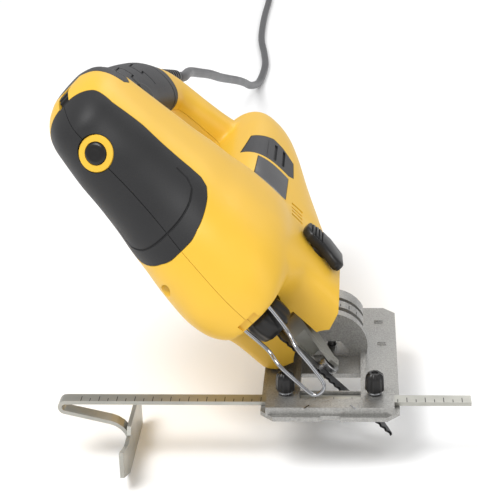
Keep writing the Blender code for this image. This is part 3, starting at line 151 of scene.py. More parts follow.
@dataclass(frozen=True)
class Finish:
    """One material of the saw.

    Args:
        name: the material's name.
        colour: sRGB colour from 0 to 255.
        rough: roughness of the clean surface.
        metal: metallic value.
        grain: kind of surface.
        size: how many grains there are to a metre.
        depth: strength of the grain's bump.
        spread: how far the colour varies, from 0 to 1.
        coat: clear coat weight.
        specular: specular level of the uncoated surface.
    """

    name: str
    colour: tuple[float, float, float]
    rough: float
    metal: float = 0.0
    grain: Grain = Grain.MOULDED
    size: float = 900.0
    depth: float = 0.12
    spread: float = 0.06
    coat: float = 0.0
    specular: float = 0.5

    def linear(self) -> tuple[float, float, float, float]:
        """Returns the colour as linear RGBA."""
        def one(value: float) -> float:
            share = value / 255
            return share / 12.92 if share <= 0.04045 else ((share + 0.055) / 1.055) ** 2.4
        return (*(one(value) for value in self.colour), 1.0)

    def material(self) -> bpy.types.Material:
        """Returns the material, built the first time it is asked for."""
        if self.name in bpy.data.materials:
            return bpy.data.materials[self.name]
        made = bpy.data.materials.new(self.name)
        made.use_nodes = True
        tree = made.node_tree
        shader = tree.nodes["Principled BSDF"]
        shader.inputs["Metallic"].default_value = self.metal
        shader.inputs["Coat Weight"].default_value = self.coat
        shader.inputs["Specular IOR Level"].default_value = self.specular
        surface = tree.nodes.new("ShaderNodeGroup")
        surface.node_tree = GROUPS[self.grain]()
        where = tree.nodes.new("ShaderNodeTexCoord")
        tree.links.new(where.outputs["Object"], surface.inputs["Place"])
        surface.inputs["Colour"].default_value = self.linear()
        surface.inputs["Rough"].default_value = self.rough
        surface.inputs["Size"].default_value = self.size
        surface.inputs["Depth"].default_value = self.depth
        surface.inputs["Spread"].default_value = self.spread
        tree.links.new(surface.outputs["Colour"], shader.inputs["Base Color"])
        tree.links.new(surface.outputs["Rough"], shader.inputs["Roughness"])
        tree.links.new(surface.outputs["Normal"], shader.inputs["Normal"])
        return made


class Wiring:
    """Adds nodes to a shader group and joins them."""

    def __init__(self, name: str) -> None:
        self.tree = bpy.data.node_groups.new(name, "ShaderNodeTree")
        face = self.tree.interface
        face.new_socket("Place", in_out="INPUT", socket_type="NodeSocketVector")
        face.new_socket("Colour", in_out="INPUT", socket_type="NodeSocketColor")
        for label in ("Rough", "Size", "Depth", "Spread"):
            face.new_socket(label, in_out="INPUT", socket_type="NodeSocketFloat")
        face.new_socket("Colour", in_out="OUTPUT", socket_type="NodeSocketColor")
        face.new_socket("Rough", in_out="OUTPUT", socket_type="NodeSocketFloat")
        face.new_socket("Normal", in_out="OUTPUT", socket_type="NodeSocketVector")
        self.source = self.tree.nodes.new("NodeGroupInput")
        self.result = self.tree.nodes.new("NodeGroupOutput")

    def join(self, start, end) -> None:
        """Joins an output socket to an input socket."""
        self.tree.links.new(start, end)

    def noise(self, scale: float, detail: float = 3.0, stretch: tuple[float, float, float] = (1, 1, 1)):
        """Returns the value of a noise whose scale follows the Size input."""
        mapping = self.tree.nodes.new("ShaderNodeMapping")
        mapping.inputs["Scale"].default_value = stretch
        self.join(self.source.outputs["Place"], mapping.inputs["Vector"])
        node = self.tree.nodes.new("ShaderNodeTexNoise")
        node.inputs["Detail"].default_value = detail
        self.join(mapping.outputs["Vector"], node.inputs["Vector"])
        self.join(self.sum("MULTIPLY", self.source.outputs["Size"], scale), node.inputs["Scale"])
        return node.outputs["Fac"]

    def cells(self, scale: float):
        """Returns the distance value of a cell pattern whose scale follows the Size input."""
        node = self.tree.nodes.new("ShaderNodeTexVoronoi")
        self.join(self.source.outputs["Place"], node.inputs["Vector"])
        self.join(self.sum("MULTIPLY", self.source.outputs["Size"], scale), node.inputs["Scale"])
        return node.outputs["Distance"]

    def sum(self, operation: str, first, second):
        """Returns the result of a Math node on sockets or plain numbers."""
        node = self.tree.nodes.new("ShaderNodeMath")
        node.operation = operation
        for slot, value in zip(node.inputs, (first, second)):
            if isinstance(value, (int, float)):
                slot.default_value = value
            else:
                self.join(value, slot)
        return node.outputs[0]

    def finish(self, shade, rough_part, height, distance: float):
        """Sets the three outputs from a shade value, a roughness part and a height.

        Returns:
            The finished group.
        """
        swing = self.sum("MULTIPLY", self.sum("SUBTRACT", shade, 0.5), self.source.outputs["Spread"])
        bright = self.tree.nodes.new("ShaderNodeHueSaturation")
        self.join(self.sum("ADD", self.sum("MULTIPLY", swing, 4.0), 1.0), bright.inputs["Value"])
        self.join(self.source.outputs["Colour"], bright.inputs["Color"])
        self.join(bright.outputs["Color"], self.result.inputs["Colour"])
        part = self.sum("MULTIPLY", self.sum("SUBTRACT", rough_part, 0.5), 0.22)
        self.join(self.sum("ADD", self.source.outputs["Rough"], part), self.result.inputs["Rough"])
        bump = self.tree.nodes.new("ShaderNodeBump")
        bump.inputs["Distance"].default_value = distance
        self.join(self.source.outputs["Depth"], bump.inputs["Strength"])
        self.join(height, bump.inputs["Height"])
        self.join(bump.outputs["Normal"], self.result.inputs["Normal"])
        return self.tree


def group(name: str, wire):
    """Returns a maker that builds a shader group once and then hands out the same one."""
    def maker():
        if name not in bpy.data.node_groups:
            wire(Wiring(name))
        return bpy.data.node_groups[name]
    return maker


def moulded(wiring: Wiring) -> None:
    """Fine spark-eroded grain with soft, broad changes of gloss."""
    fine = wiring.noise(1.0, 4)
    broad = wiring.noise(0.02, 2)
    wiring.finish(broad, broad, fine, 0.0002)


def soft(wiring: Wiring) -> None:
    """Matte rubber: fine pits and a dusty bloom."""
    pits = wiring.cells(1.0)
    bloom = wiring.noise(0.03, 5)
    wiring.finish(bloom, bloom, pits, 0.0003)


def cast(wiring: Wiring) -> None:
    """Blasted die-cast skin: coarse pits with flow marks."""
    pits = wiring.noise(1.0, 6)
    flow = wiring.noise(0.08, 5)
    height = wiring.sum("ADD", pits, wiring.sum("MULTIPLY", flow, 0.8))
    shade = wiring.sum("ADD", wiring.sum("MULTIPLY", pits, 0.8), wiring.sum("MULTIPLY", flow, 0.2))
    wiring.finish(shade, flow, height, 0.0006)


def rolled(wiring: Wiring) -> None:
    """Fine lines along X from rolling or grinding, with faint stains."""
    lines = wiring.noise(1.0, 2, (0.05, 1, 1))
    stains = wiring.noise(0.04, 3)
    wiring.finish(stains, lines, lines, 0.0002)


GROUPS = {
    Grain.MOULDED: group("Moulded grain", moulded),
    Grain.SOFT: group("Rubber bloom", soft),
    Grain.CAST: group("Cast skin", cast),
    Grain.ROLLED: group("Rolled lines", rolled),
}

YELLOW = Finish("Yellow shell", (224, 178, 52), 0.42, size=1500, depth=0.10, spread=0.03)
GRIP = Finish("Black soft grip", (40, 40, 41), 0.5, grain=Grain.SOFT, size=1700, depth=0.16,
              specular=0.28)
GREY_GRIP = Finish("Grey soft grip", (56, 56, 58), 0.5, grain=Grain.SOFT, size=1500, depth=0.2,
                   specular=0.3)
BLACK = Finish("Black plastic", (26, 25, 25), 0.34, size=1300, depth=0.12, specular=0.35)
LABEL = Finish("Blank label", (38, 38, 42), 0.25, size=600, depth=0.03, coat=0.4)
GREEN = Finish("Circuit board", (26, 90, 46), 0.4, size=800)
CORD = Finish("Cord sheath", (84, 84, 86), 0.45, grain=Grain.SOFT, size=1400, depth=0.1, specular=0.35)
CAST = Finish("Cast base", (158, 157, 154), 0.4, 0.75, Grain.CAST, 1100, 0.5, 0.34)
ZINC = Finish("Zinc strip", (168, 167, 160), 0.34, 0.85, Grain.ROLLED, 1800, 0.12, 0.12)
CHROME = Finish("Chrome wire", (158, 159, 162), 0.16, 1.0, Grain.ROLLED, 1200, 0.04, 0.04)
STEEL = Finish("Ground steel", (168, 168, 168), 0.3, 1.0, Grain.ROLLED, 1800, 0.12, 0.08)
DARK = Finish("Blued steel", (56, 56, 58), 0.36, 0.9, Grain.ROLLED, 1500, 0.12, 0.08)
BRASS = Finish("Brass", (196, 158, 88), 0.32, 1.0, Grain.ROLLED, 1500, 0.1, 0.06)
COPPER = Finish("Copper", (190, 118, 84), 0.32, 1.0, Grain.ROLLED, 1500, 0.1, 0.06)
INK = Finish("Scale ink", (40, 40, 40), 0.6)
PAPER = Finish("Pale floor", (250, 250, 250), 0.85, size=200, depth=0.0, spread=0.0)

CAD_FINISHES = {
    "base_plate": CAST, "gear_plate": CAST, "rip_fence": ZINC, "blade": DARK, "armature_core": DARK,
    "field_stator": DARK, "brush_left": DARK, "brush_right": DARK, "commutator": COPPER,
    "plunger_bush_lower": BRASS, "plunger_bush_upper": BRASS, "brush_holder_left": BRASS,
    "brush_holder_right": BRASS, "cooling_fan": BLACK, "trigger_switch": BLACK, "cord_clamp": BLACK,
    "trigger": BLACK, "lock_on_button": BLACK, "front_button": BLACK, "orbital_lever": BLACK,
    "roller_fork": ZINC, "roller_pin": ZINC,
    "speed_dial": BLACK, "control_board": GREEN, "plug": BLACK, "button_ring": YELLOW,
}


# ---------------------------------------------------------------- mesh tools


def new_object(name: str, points: np.ndarray, faces: list) -> bpy.types.Object:
    """Makes a mesh object from points in millimetres.

    Args:
        name: the object's name.
        points: an array of N points.
        faces: lists of point numbers.

    Returns:
        The object, at the origin, in metres.
    """
    mesh = bpy.data.meshes.new(name)
    mesh.from_pydata((np.asarray(points, float) * MM).tolist(), [], faces)
    mesh.validate()
    obj = bpy.data.objects.new(name, mesh)
    bpy.context.scene.collection.objects.link(obj)
    return right_way_out(obj)


def right_way_out(obj: bpy.types.Object) -> bpy.types.Object:
    """Turns every face of a closed mesh outwards."""
    shape = bmesh.new()
    shape.from_mesh(obj.data)
    bmesh.ops.recalc_face_normals(shape, faces=shape.faces)
    shape.to_mesh(obj.data)
    shape.free()
    return obj


def skin(name: str, rings: np.ndarray) -> bpy.types.Object:
    """Covers a stack of rings, an array of R rings by S points, with quads and two end caps.

    Args:
        name: the object's name.
        rings: points in millimetres.
    """
    count, sides = rings.shape[:2]
    row = np.arange(count - 1)[:, None] * sides
    step = np.arange(sides)[None, :]
    after = (step + 1) % sides
    above = row + sides
    quads = np.stack([row + step, row + after, above + after, above + step], axis=-1).reshape(-1, 4)
    faces = quads.tolist()
    faces += [list(range(sides))[::-1], list(range((count - 1) * sides, count * sides))]
    return new_object(name, rings.reshape(-1, 3), faces)


def eased(table: tuple, count: int) -> np.ndarray:
    """Fills a table of sections with a smooth curve through its rows.

    Args:
        table: rows of numbers.
        count: how many rows to return.
    """
    rows = np.array(table, float)
    spread = np.linspace(0, len(rows) - 1, count)
    low = np.clip(spread.astype(int), 0, len(rows) - 2)
    share = (spread - low)[:, None]
    padded = np.vstack([2 * rows[0] - rows[1], rows, 2 * rows[-1] - rows[-2]])
    a, b, c, d = (padded[low + i] for i in range(4))
    return 0.5 * (2 * b + (c - a) * share + (2 * a - 5 * b + 4 * c - d) * share**2
                  + (3 * b - a - 3 * c + d) * share**3)


def ovals(half_a: np.ndarray, half_b: np.ndarray, square: np.ndarray, sides: int) -> np.ndarray:
    """Returns superellipse points, an array of rings by sides by 2."""
    turn = 2 * np.pi * (np.arange(sides) + 0.5) / sides
    cos, sin = np.cos(turn)[None], np.sin(turn)[None]
    power = 2 / np.broadcast_to(square, half_a.shape)[:, None]
    return np.stack([half_a[:, None] * np.sign(cos) * np.abs(cos) ** power,
                     half_b[:, None] * np.sign(sin) * np.abs(sin) ** power], axis=-1)


def box(name: str, x: tuple, y: tuple, z: tuple) -> bpy.types.Object:
    """A box between low and high values along each axis, used as a cutter or a coarse cage."""
    corners = np.array([(i, j, k) for i in x for j in y for k in z], float)
    return new_object(name, corners, list(BOX_FACES))


def prism(name: str, outline: list, low: float, high: float, axis: str = "X") -> bpy.types.Object:
    """A flat outline drawn out along an axis. Pairs are the other two axes in X, Y, Z order."""
    flat = np.array(outline, float)
    ends = []
    for level in (low, high):
        column = np.full(len(flat), level)
        order = {"X": (column, flat[:, 0], flat[:, 1]), "Y": (flat[:, 0], column, flat[:, 1]),
                 "Z": (flat[:, 0], flat[:, 1], column)}[axis]
        ends.append(np.stack(order, axis=-1))
    return skin(name, np.array(ends))


def turned(name: str, profile: list, start: Vector, along: Vector, sides: int = 48,
           lobes: tuple[int, float] = (0, 0.0)) -> bpy.types.Object:
    """A turned form, closed at both ends.

    Args:
        name: the object's name.
        profile: pairs of distance along the axis and radius.
        start: the axis's first point.
        along: the axis's direction.
        sides: points round the axis.
        lobes: how many lobes the outer radius has, and how deep they are.
    """
    frame = along.normalized().to_track_quat("Z", "Y").to_matrix()
    across, up, axis = (np.array(frame.col[i]) for i in range(3))
    turn = 2 * np.pi * np.arange(sides) / sides
    wave = 1 + lobes[1] * np.cos(lobes[0] * turn)
    rings = [np.array(start) + axis * length + radius * wave[:, None] *
             (np.cos(turn)[:, None] * across + np.sin(turn)[:, None] * up) for length, radius in profile]
    return skin(name, np.array(rings))


def sweep(name: str, route: np.ndarray, radius: float, sides: int = 12) -> bpy.types.Object:
    """A round wire or cord along a route, with the ring's turn carried along it."""
    route = np.asarray(route, float)
    ahead = np.gradient(route, axis=0)
    ahead /= np.linalg.norm(ahead, axis=1)[:, None]
    side = np.cross(ahead[0], (0.0, 0.0, 1.0) if abs(ahead[0][2]) < 0.9 else (1.0, 0.0, 0.0))
    turn = (2 * np.pi * np.arange(sides) / sides)[:, None]
    rings = []
    for point, way in zip(route, ahead):
        side = side - way * side.dot(way)
        side /= np.linalg.norm(side)
        rings.append(point + radius * (np.cos(turn) * side + np.sin(turn) * np.cross(way, side)))
    return skin(name, np.array(rings))


def spaced(points: np.ndarray, step: float) -> np.ndarray:
    """Points evenly spaced on a smooth curve through the points given, in millimetres."""
    fine = eased(tuple(map(tuple, points)), len(points) * 30)
    walked = np.concatenate([[0], np.cumsum(np.linalg.norm(np.diff(fine, axis=0), axis=1))])
    places = np.linspace(0, walked[-1], max(3, round(walked[-1] / step) + 1))
    return np.stack([np.interp(places, walked, fine[:, i]) for i in range(3)], axis=-1)


def applied(obj: bpy.types.Object) -> bpy.types.Object:
    """Replaces the mesh by its evaluated one and drops the modifiers."""
    graph = bpy.context.evaluated_depsgraph_get()
    mesh = bpy.data.meshes.new_from_object(obj.evaluated_get(graph))
    obj.modifiers.clear()
    obj.data = mesh
    return obj


def reach(obj: bpy.types.Object) -> np.ndarray:
    """Returns the lowest and highest corner of an object's own mesh, as six numbers."""
    corners = np.array([tuple(corner) for corner in obj.bound_box])
    return np.concatenate([corners.min(axis=0), corners.max(axis=0)])


def combine(obj: bpy.types.Object, other: bpy.types.Object, how: str = "DIFFERENCE",
            keep: bool = False) -> bpy.types.Object:
    """Cuts or joins an object with another.

    Where faces of the two nearly coincide, a cut can add its cutter instead. The piece then grows, so
    the cutter is moved by a hair and the cut is made again.

    Args:
        obj: the object that changes.
        other: the cutter, which is removed unless it is kept.
        how: the Boolean's operation.
        keep: whether the cutter is needed again.

    Returns:
        The changed object.
    """
    before, whole = obj.data, reach(obj)
    for hair in (0.0, 0.017, 0.029, -0.021, 0.043):
        other.data.transform(Matrix.Translation((hair * MM, hair * 1.3 * MM, hair * 0.7 * MM)))
        step = obj.modifiers.new(how.title(), "BOOLEAN")
        step.operation = how
        step.object = other
        bpy.context.view_layer.update()
        applied(obj)
        bpy.context.view_layer.update()
        outward = np.concatenate([whole[:3] - reach(obj)[:3], reach(obj)[3:] - whole[3:]])
        if how == "UNION" or (len(obj.data.polygons) and (outward < 0.05 * MM).all()):
            break
        LOG.warning("%s: a cut is made again", obj.name)
        obj.data = before
    if not keep:
        bpy.data.objects.remove(other, do_unlink=True)
    return obj


def duplicate(obj: bpy.types.Object, name: str) -> bpy.types.Object:
    """A copy with a mesh of its own."""
    made = obj.copy()
    made.data = obj.data.copy()
    made.name = name
    bpy.context.scene.collection.objects.link(made)
    return made


def rounded(obj: bpy.types.Object, width: float, segments: int = 2,
            angle: float = 40) -> bpy.types.Object:
    """Rounds the sharp edges by a width in millimetres."""
    step = obj.modifiers.new("Round", "BEVEL")
    step.width = width * MM
    step.segments = segments
    step.limit_method = "ANGLE"
    step.angle_limit = math.radians(angle)
    bpy.context.view_layer.update()
    return applied(obj)


def place(obj: bpy.types.Object, finish: Finish, body: str, slot: str, *replaced: str,
          leaned: bool = True, sharp: float = 38) -> bpy.types.Object:
    """Leans a finished piece over, gives it its finish and puts it on its body.

    Args:
        obj: the piece.
        finish: its finish.
        body: the body of the frame it rides on.
        slot: the record's material slot; not used.
        replaced: CAD nodes that it stands for.
        leaned: whether it was made in the saw's upright frame.
        sharp: edges sharper than this angle stay crisp.
    """
    if leaned:
        obj.data.transform(LEAN)
    obj.data.materials.clear()
    obj.data.materials.append(finish.material())
    obj.data.shade_smooth()
    obj.data.set_sharp_from_angle(angle=math.radians(sharp))
    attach(obj, body)
    if replaced:
        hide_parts(*replaced)
    return obj


# ---------------------------------------------------------------- body


@dataclass
class Shell:
    """The moulded body: its outer form, the two halves and the grips let into them."""

    voxel: float = 1.5

    FRONT = ((-80, 112.5), (-49, 112.5), (-46.6, 114.3), (-40.6, 117), (-33, 120.2), (-26.7, 123.6),
             (-22.6, 128.4), (-19.6, 136), (-16, 149), (-10.5, 170), (-6.5, 190), (-3.8, 196),
             (-1.3, 201), (-0.6, 206), (-0.6, 225), (-80, 225))
    TOP = ((24, 225), (24, 204), (22, 190), (27, 187), (40, 190), (50, 187.5), (58, 184), (61.5, 178),
           (62, 165), (62, 138), (118, 138), (127, 150), (133, 162), (136, 172), (137, 225))
    PAD = ((81, 102), (110, 99), (116, 86), (112, 78), (102, 69), (77, 68), (74, 72))
    PLATE = ((76, 94), (69, 72), (36, 72), (37, 94))

    def forms(self, inset: float, sides: int, fill: int) -> list[bpy.types.Object]:
        """Returns the head, block, barrel and handle as closed forms drawn in by an inset."""
        made = []
        for name, table in (("head", HEAD), ("block", BLOCK)):
            rows = eased(table, len(table) * fill)
            height, half, front, back, square = rows.T
            height = self.drawn_in(height, inset)
            flat = ovals(half - inset, (back - front) / 2 - inset, square, sides)
            rings = np.stack([flat[..., 0], flat[..., 1] + ((front + back) / 2)[:, None],
                              np.broadcast_to(height[:, None], flat.shape[:2])], axis=-1)
            made.append(skin(name, rings))
        place_y, half, bottom, top, square = eased(BARREL, len(BARREL) * fill).T
        place_y = self.drawn_in(place_y, inset)
        flat = ovals(half - inset, (top - bottom) / 2 - inset, square, sides)
        rings = np.stack([flat[..., 0], np.broadcast_to(place_y[:, None], flat.shape[:2]),
                          flat[..., 1] + ((top + bottom) / 2)[:, None]], axis=-1)
        made.append(skin("barrel", rings))
        y, z, rise, half = eased(HANDLE, len(HANDLE) * fill).T
        ahead = np.stack([np.gradient(y), np.gradient(z)], axis=-1)
        ahead /= np.linalg.norm(ahead, axis=1)[:, None]
        flat = ovals(half - inset, rise - inset, np.full(len(y), 2.3), sides)
        rings = np.stack([flat[..., 0], y[:, None] - ahead[:, 1:] * flat[..., 1],
                          z[:, None] + ahead[:, :1] * flat[..., 1]], axis=-1)
        made.append(skin("handle", rings))
        return made

    @staticmethod
    def drawn_in(values: np.ndarray, inset: float) -> np.ndarray:
        """Moves the two ends of a run of places inwards."""
        moved = values.copy()
        moved[0] += inset
        moved[-1] -= inset
        return moved

    def outer(self) -> bpy.types.Object:
        """Returns the outer form, its parts flowed together and smoothed."""
        forms = self.forms(0, 96, 5)
        with bpy.context.temp_override(active_object=forms[0], selected_editable_objects=forms):
            bpy.ops.object.join()
        form = forms[0]
        step = form.modifiers.new("Flow", "REMESH")
        step.mode = "VOXEL"
        step.voxel_size = self.voxel * MM
        soften = form.modifiers.new("Soften", "SMOOTH")
        soften.factor = 0.5
        soften.iterations = max(3, round(14 / self.voxel))
        bpy.context.view_layer.update()
        return applied(form)

    def hollow(self, form: bpy.types.Object) -> bpy.types.Object:
        """Empties the form to its wall, and clears the underside for the drum and the blade."""
        shape = form
        for inner in self.forms(WALL, 24, 1):
            for cutter in self.undercuts(WALL):
                combine(inner, cutter)
            combine(shape, inner)
        for cutter in self.undercuts(0):
            combine(shape, cutter)
        return shape

    @staticmethod
    def undercuts(grow: float) -> list[bpy.types.Object]:
        """Returns the cutters for the drum, the sloped underside, the blade's room and the collar."""
        across = Vector((0, 1, 0))
        saddle = turned("saddle", [(0, 21.4 + grow), (160, 21.4 + grow)], Vector((0, -80, 0)), across,
                        96)
        slope = [(14.6, 15.6), (25.3, 19), (31, 24), (38, 30.5), (60, 30.5)]
        outline = [(x, z + grow) for x, z in slope] + [(60, -10), (-60, -10)]
        outline += [(-x, z + grow) for x, z in reversed(slope)]
        room = box("room", (-8.4 - grow, 8.4 + grow), (-48, -10 + grow), (0, 38 + grow))
        collar = turned("collar", [(0, 13.5 + grow), (38.2 + grow, 13.5 + grow)],
                        Vector((0, PLUNGER_Y, 20)), Vector((0, 0, 1)), 64)
        return [saddle, prism("under", outline, -80, 80, "Y"), room, collar]

    @staticmethod
    def region(outline: tuple, low: float, high: float, grow: float) -> bpy.types.Object:
        """A side outline drawn across the body, its sides moved outwards by grow."""
        points = np.array(outline, float)
        before, after = np.roll(points, 1, axis=0), np.roll(points, -1, axis=0)
        area = np.sum(points[:, 0] * after[:, 1] - after[:, 0] * points[:, 1])
        first = (points - before) / np.linalg.norm(points - before, axis=1)[:, None]
        second = (after - points) / np.linalg.norm(after - points, axis=1)[:, None]
        out = np.stack([first[:, 1] + second[:, 1], -first[:, 0] - second[:, 0]],
                       axis=-1) * np.sign(area)
        out /= np.maximum(0.5, 1 + np.sum(first * second, axis=1))[:, None]
        return prism("region", (points + out * grow).tolist(), low - grow, high + grow)

    def grips(self) -> tuple:
        """Returns each let-in piece: name, outline, X limits, finish, slot."""
        return (
            ("soft_front", self.FRONT, -60, 60, GRIP, "black_rubber", "front_grip"),
            ("soft_top", self.TOP, -60, 60, GREY_GRIP, "grey_rubber", "handle_grip"),
            ("soft_pad_left", self.PAD, 20, 60, GREY_GRIP, "grey_rubber", "side_pad_left"),
            ("soft_pad_right", self.PAD, -60, -20, GREY_GRIP, "grey_rubber", "side_pad_right"),
            ("badge", self.PLATE, 20, 60, LABEL, "label", "label_plate"),
        )

    def holes(self) -> list[bpy.types.Object]:
        """Returns the cutters for the controls, the cord and the plunger."""
        across = Vector((1, 0, 0))
        made = [
            turned("ring", [(0, 10.8), (18, 10.8)], BUTTON - BUTTON_OUT * 10, BUTTON_OUT, 64),
            box("trigger", (-9.5, 9.5), (57.5, 88.5), (130, 172)),
            turned("lock", [(0, 6.4), (30, 6.4)], Vector((6, 52, 174)), across, 48),
            box("dial", (-4, 4), (-1.5, 21), (201.5, 230)),
            turned("lead", [(0, 6.5), (30, 6.5)], RELIEF - RELIEF_OUT * 12, RELIEF_OUT, 48),
            turned("plunger", [(0, 4.5), (10, 4.5)], Vector((0, PLUNGER_Y, 53.5)), Vector((0, 0, 1)),
                   40),
            turned("lever", [(0, 6.3), (20, 6.3)], Vector((28, 6, 44)), across, 40),
            box("nose_notch", (-6.5, 6.5), (-75, -60.5), (57, 63.5)),
        ]
        for side in (-1, 1):
            made.append(turned("wire", [(0, 1.4), (6, 1.4)], Vector((side * 9.7, -51, 57)),
                               Vector((0, 0, 1)), 20))
            for i in range(4):
                low, high = sorted((side * 25, side * 60))
                made.append(box("air", (low, high), (20 + i * 6, 22.4 + i * 6), (58, 67)))
        for y, z, head in SCREWS:
            made.append(turned("screw", [(0, 3.6), (60, 3.6)], Vector((head - 57.8, y, z)), across, 32))
        return made

    def build(self) -> None:
        """Makes the halves and every grip."""
        form = self.hollow(self.outer())
        for cutter in self.holes():
            combine(form, cutter)
        crescent = turned("crescent", [(0, 9.6), (2, 10.2), (30, 10.8)], Vector((17.2, 48.8, 175)),
                          Vector((1, 0, 0)), 64)
        combine(form, crescent)
        for name, outline, low, high, finish, slot, node in self.grips():
            piece = duplicate(form, name)
            combine(piece, self.region(outline, low, high, 0), "INTERSECT")
            combine(form, self.region(outline, low, high, SEAM))
            for cutter in self.grooves(name):
                combine(piece, cutter)
            place(piece, finish, "housing", slot, node)
            LOG.info("%s: %d faces", name, len(piece.data.polygons))
        for side, name in SIDES:
            half = duplicate(form, "shell_" + name)
            low, high = (-90, 0.12) if side > 0 else (-0.12, 90)
            combine(half, box("other", (low, high), (-100, 220), (-10, 240)))
            place(half, YELLOW, "housing", "yellow_plastic", "housing_" + name)
        bpy.data.objects.remove(form, do_unlink=True)

    def grooves(self, name: str) -> list[bpy.types.Object]:
        """Returns the cutters of a grip's moulded grooves."""
        made = []
        if name == "soft_top":
            core = self.handle_core(1.0)
            made.append(prism("end_line", [(117.6, 132), (118.7, 132), (122.2, 160), (121.1, 160)],
                              -60, 60))
            made.append(prism("end_line", [(121.1, 160), (122.2, 160), (123.4, 225), (122.3, 225)],
                              -60, 60))
            for y, flip in ((38, 1), (66, -1), (92, 1)):
                for across, along in self.puzzle(flip):
                    for side in (-1, 1):
                        bar = box("puzzle", across, (y + along[0], y + along[1]), (4, 60))
                        bar.data.transform(Matrix.Translation((0, 0, 0.176)) @ Matrix.Rotation(
                            math.radians(45 * side), 4, "Y"))
                        made.append(bar)
            for cutter in made:
                combine(cutter, core, keep=True)
            bpy.data.objects.remove(core, do_unlink=True)
        if name.startswith("soft_pad"):
            side = 1 if name.endswith("left") else -1
            for z in (76, 82.5, 89):
                low, high = sorted((side * 32.4, side * 60))
                made.append(box("groove", (low, high), (81, 108), (z, z + 2.2)))
        if name == "soft_front":
            made.append(box("parting", (-0.2, 0.2), (-80, 20), (100, 225)))
            core = self.head_core(0.8)
            combine(made[-1], core, keep=True)
            crease = np.array(self.FRONT[1:8], float) + (-4.0, 5.5)
            strip = crease.tolist() + (crease[::-1] + (-0.5, 0.8)).tolist()
            made.append(combine(prism("crease", strip, -60, 60), core))
        return made

    @staticmethod
    def puzzle(flip: int) -> list[tuple]:
        """Returns the bars, across and along limits, of one interlocking groove."""
        path = [(-17, 0), (-6, 0), (-6, 7), (2, 7), (2, -4), (9, -4), (9, 2), (17, 2)]
        bars = []
        for (x0, y0), (x1, y1) in zip(path, path[1:]):
            across = tuple(sorted((flip * x0, flip * x1)))
            along = tuple(sorted((y0, y1)))
            bars.append(((across[0] - 0.55, across[1] + 0.55), (along[0] - 0.55, along[1] + 0.55)))
        return bars

    def handle_core(self, inset: float) -> bpy.types.Object:
        """Returns the handle's form drawn in by an inset."""
        *others, core = self.forms(inset, 96, 5)
        for other in others:
            bpy.data.objects.remove(other, do_unlink=True)
        return core

    def head_core(self, inset: float) -> bpy.types.Object:
        """Returns the head's form drawn in by an inset."""
        core, *others = self.forms(inset, 96, 5)
        for other in others:
            bpy.data.objects.remove(other, do_unlink=True)
        return core


# ---------------------------------------------------------------- fittings


def make_controls() -> None:
    """The button and its ring, lever ribs, lock button and trigger beyond what the CAD has."""
    ring = turned("ring_lip", [(-5, 10.4), (0.1, 10.4), (0.5, 10.0), (0.6, 7.2), (0.5, 0.5)],
                  BUTTON, BUTTON_OUT, 64)
    combine(ring, turned("bore", [(-7, 6.6), (7, 6.6)], BUTTON, BUTTON_OUT, 64))
    place(ring, YELLOW, "housing", "yellow_plastic", "button_ring")
    cap = turned("button_cap", [(-9, 6.2), (0.9, 6.2), (1.5, 5.7), (1.9, 4.4), (1.6, 2.5), (1.5, 0.4)],
                 BUTTON, BUTTON_OUT, 64)
    place(cap, BLACK, "front_button", "black_plastic", "front_button")
    lock = turned("lock_cap", [(0, 6), (12.2, 6), (12.9, 5.4), (13.1, 4), (12.8, 0.4)],
                  Vector((9, 52, 174)), Vector((1, 0, 0)), 48)
    place(lock, BLACK, "lock_button", "black_plastic", "lock_on_button")
    outline = [(6, 59), (14, 58), (17, 50), (16, 41), (9, 31), (-5, 30), (-8, 34), (-4, 40), (0, 46),
               (1, 55)]
    lever = rounded(prism("lever_bar", outline, 35.2, 41.5), 1.8, 3)
    for i in range(4):
        combine(lever, box("rib", (40.6, 45), (-12, 20), (47.5 + i * 2.6, 48.6 + i * 2.6)))
    combine(lever, turned("hub", [(0, 6), (7, 6)], Vector((30, 6, 44)), Vector((1, 0, 0)), 40), "UNION")
    place(lever, BLACK, "lever", "black_plastic", "orbital_lever")
    outline = [(58, 150), (60, 145), (70, 143.5), (84, 148), (88, 155), (87, 165), (58, 162)]
    trigger = rounded(prism("trigger_key", outline, -8.8, 8.8), 1.8, 3)
    place(trigger, BLACK, "trigger", "black_plastic", "trigger")


def make_screw_heads() -> None:
    """Recessed screw heads with a six-lobed socket."""
    for i, (y, z, head) in enumerate(SCREWS):
        top = turned("screw_top_%d" % (i + 1), [(0.2, 3.0), (1.6, 3.1), (2.0, 2.7)],
                     Vector((head + 2.2, y, z)),
                     Vector((-1, 0, 0)), 32)
        combine(top, turned("socket", [(0, 1.4), (3, 1.4)], Vector((head + 1.2, y, z)),
                            Vector((-1, 0, 0)), 24,
                            (6, 0.18)))
        place(top, STEEL, "housing", "steel", "housing_screw_%d" % (i + 1))


def make_collar() -> None:
    """The ribbed clamp collar that turns to free the blade."""
    start = Vector((0, PLUNGER_Y, 41))
    profile = [(0, 9.9), (0.8, 10.9), (3, 11.8), (7, 12.15), (11, 12.0), (13.6, 11.2), (14.2, 10.6),
               (15, 10.6), (15.6, 11.2), (16.5, 10.8)]
    collar = turned("clamp_collar_ribbed", profile, start, Vector((0, 0, 1)), 120, (10, 0.025))
    combine(collar, turned("bore", [(-1, 9.2), (18, 9.2)], start, Vector((0, 0, 1)), 48))
    place(collar, BLACK, "clamp_collar", "black_plastic", "blade_clamp")


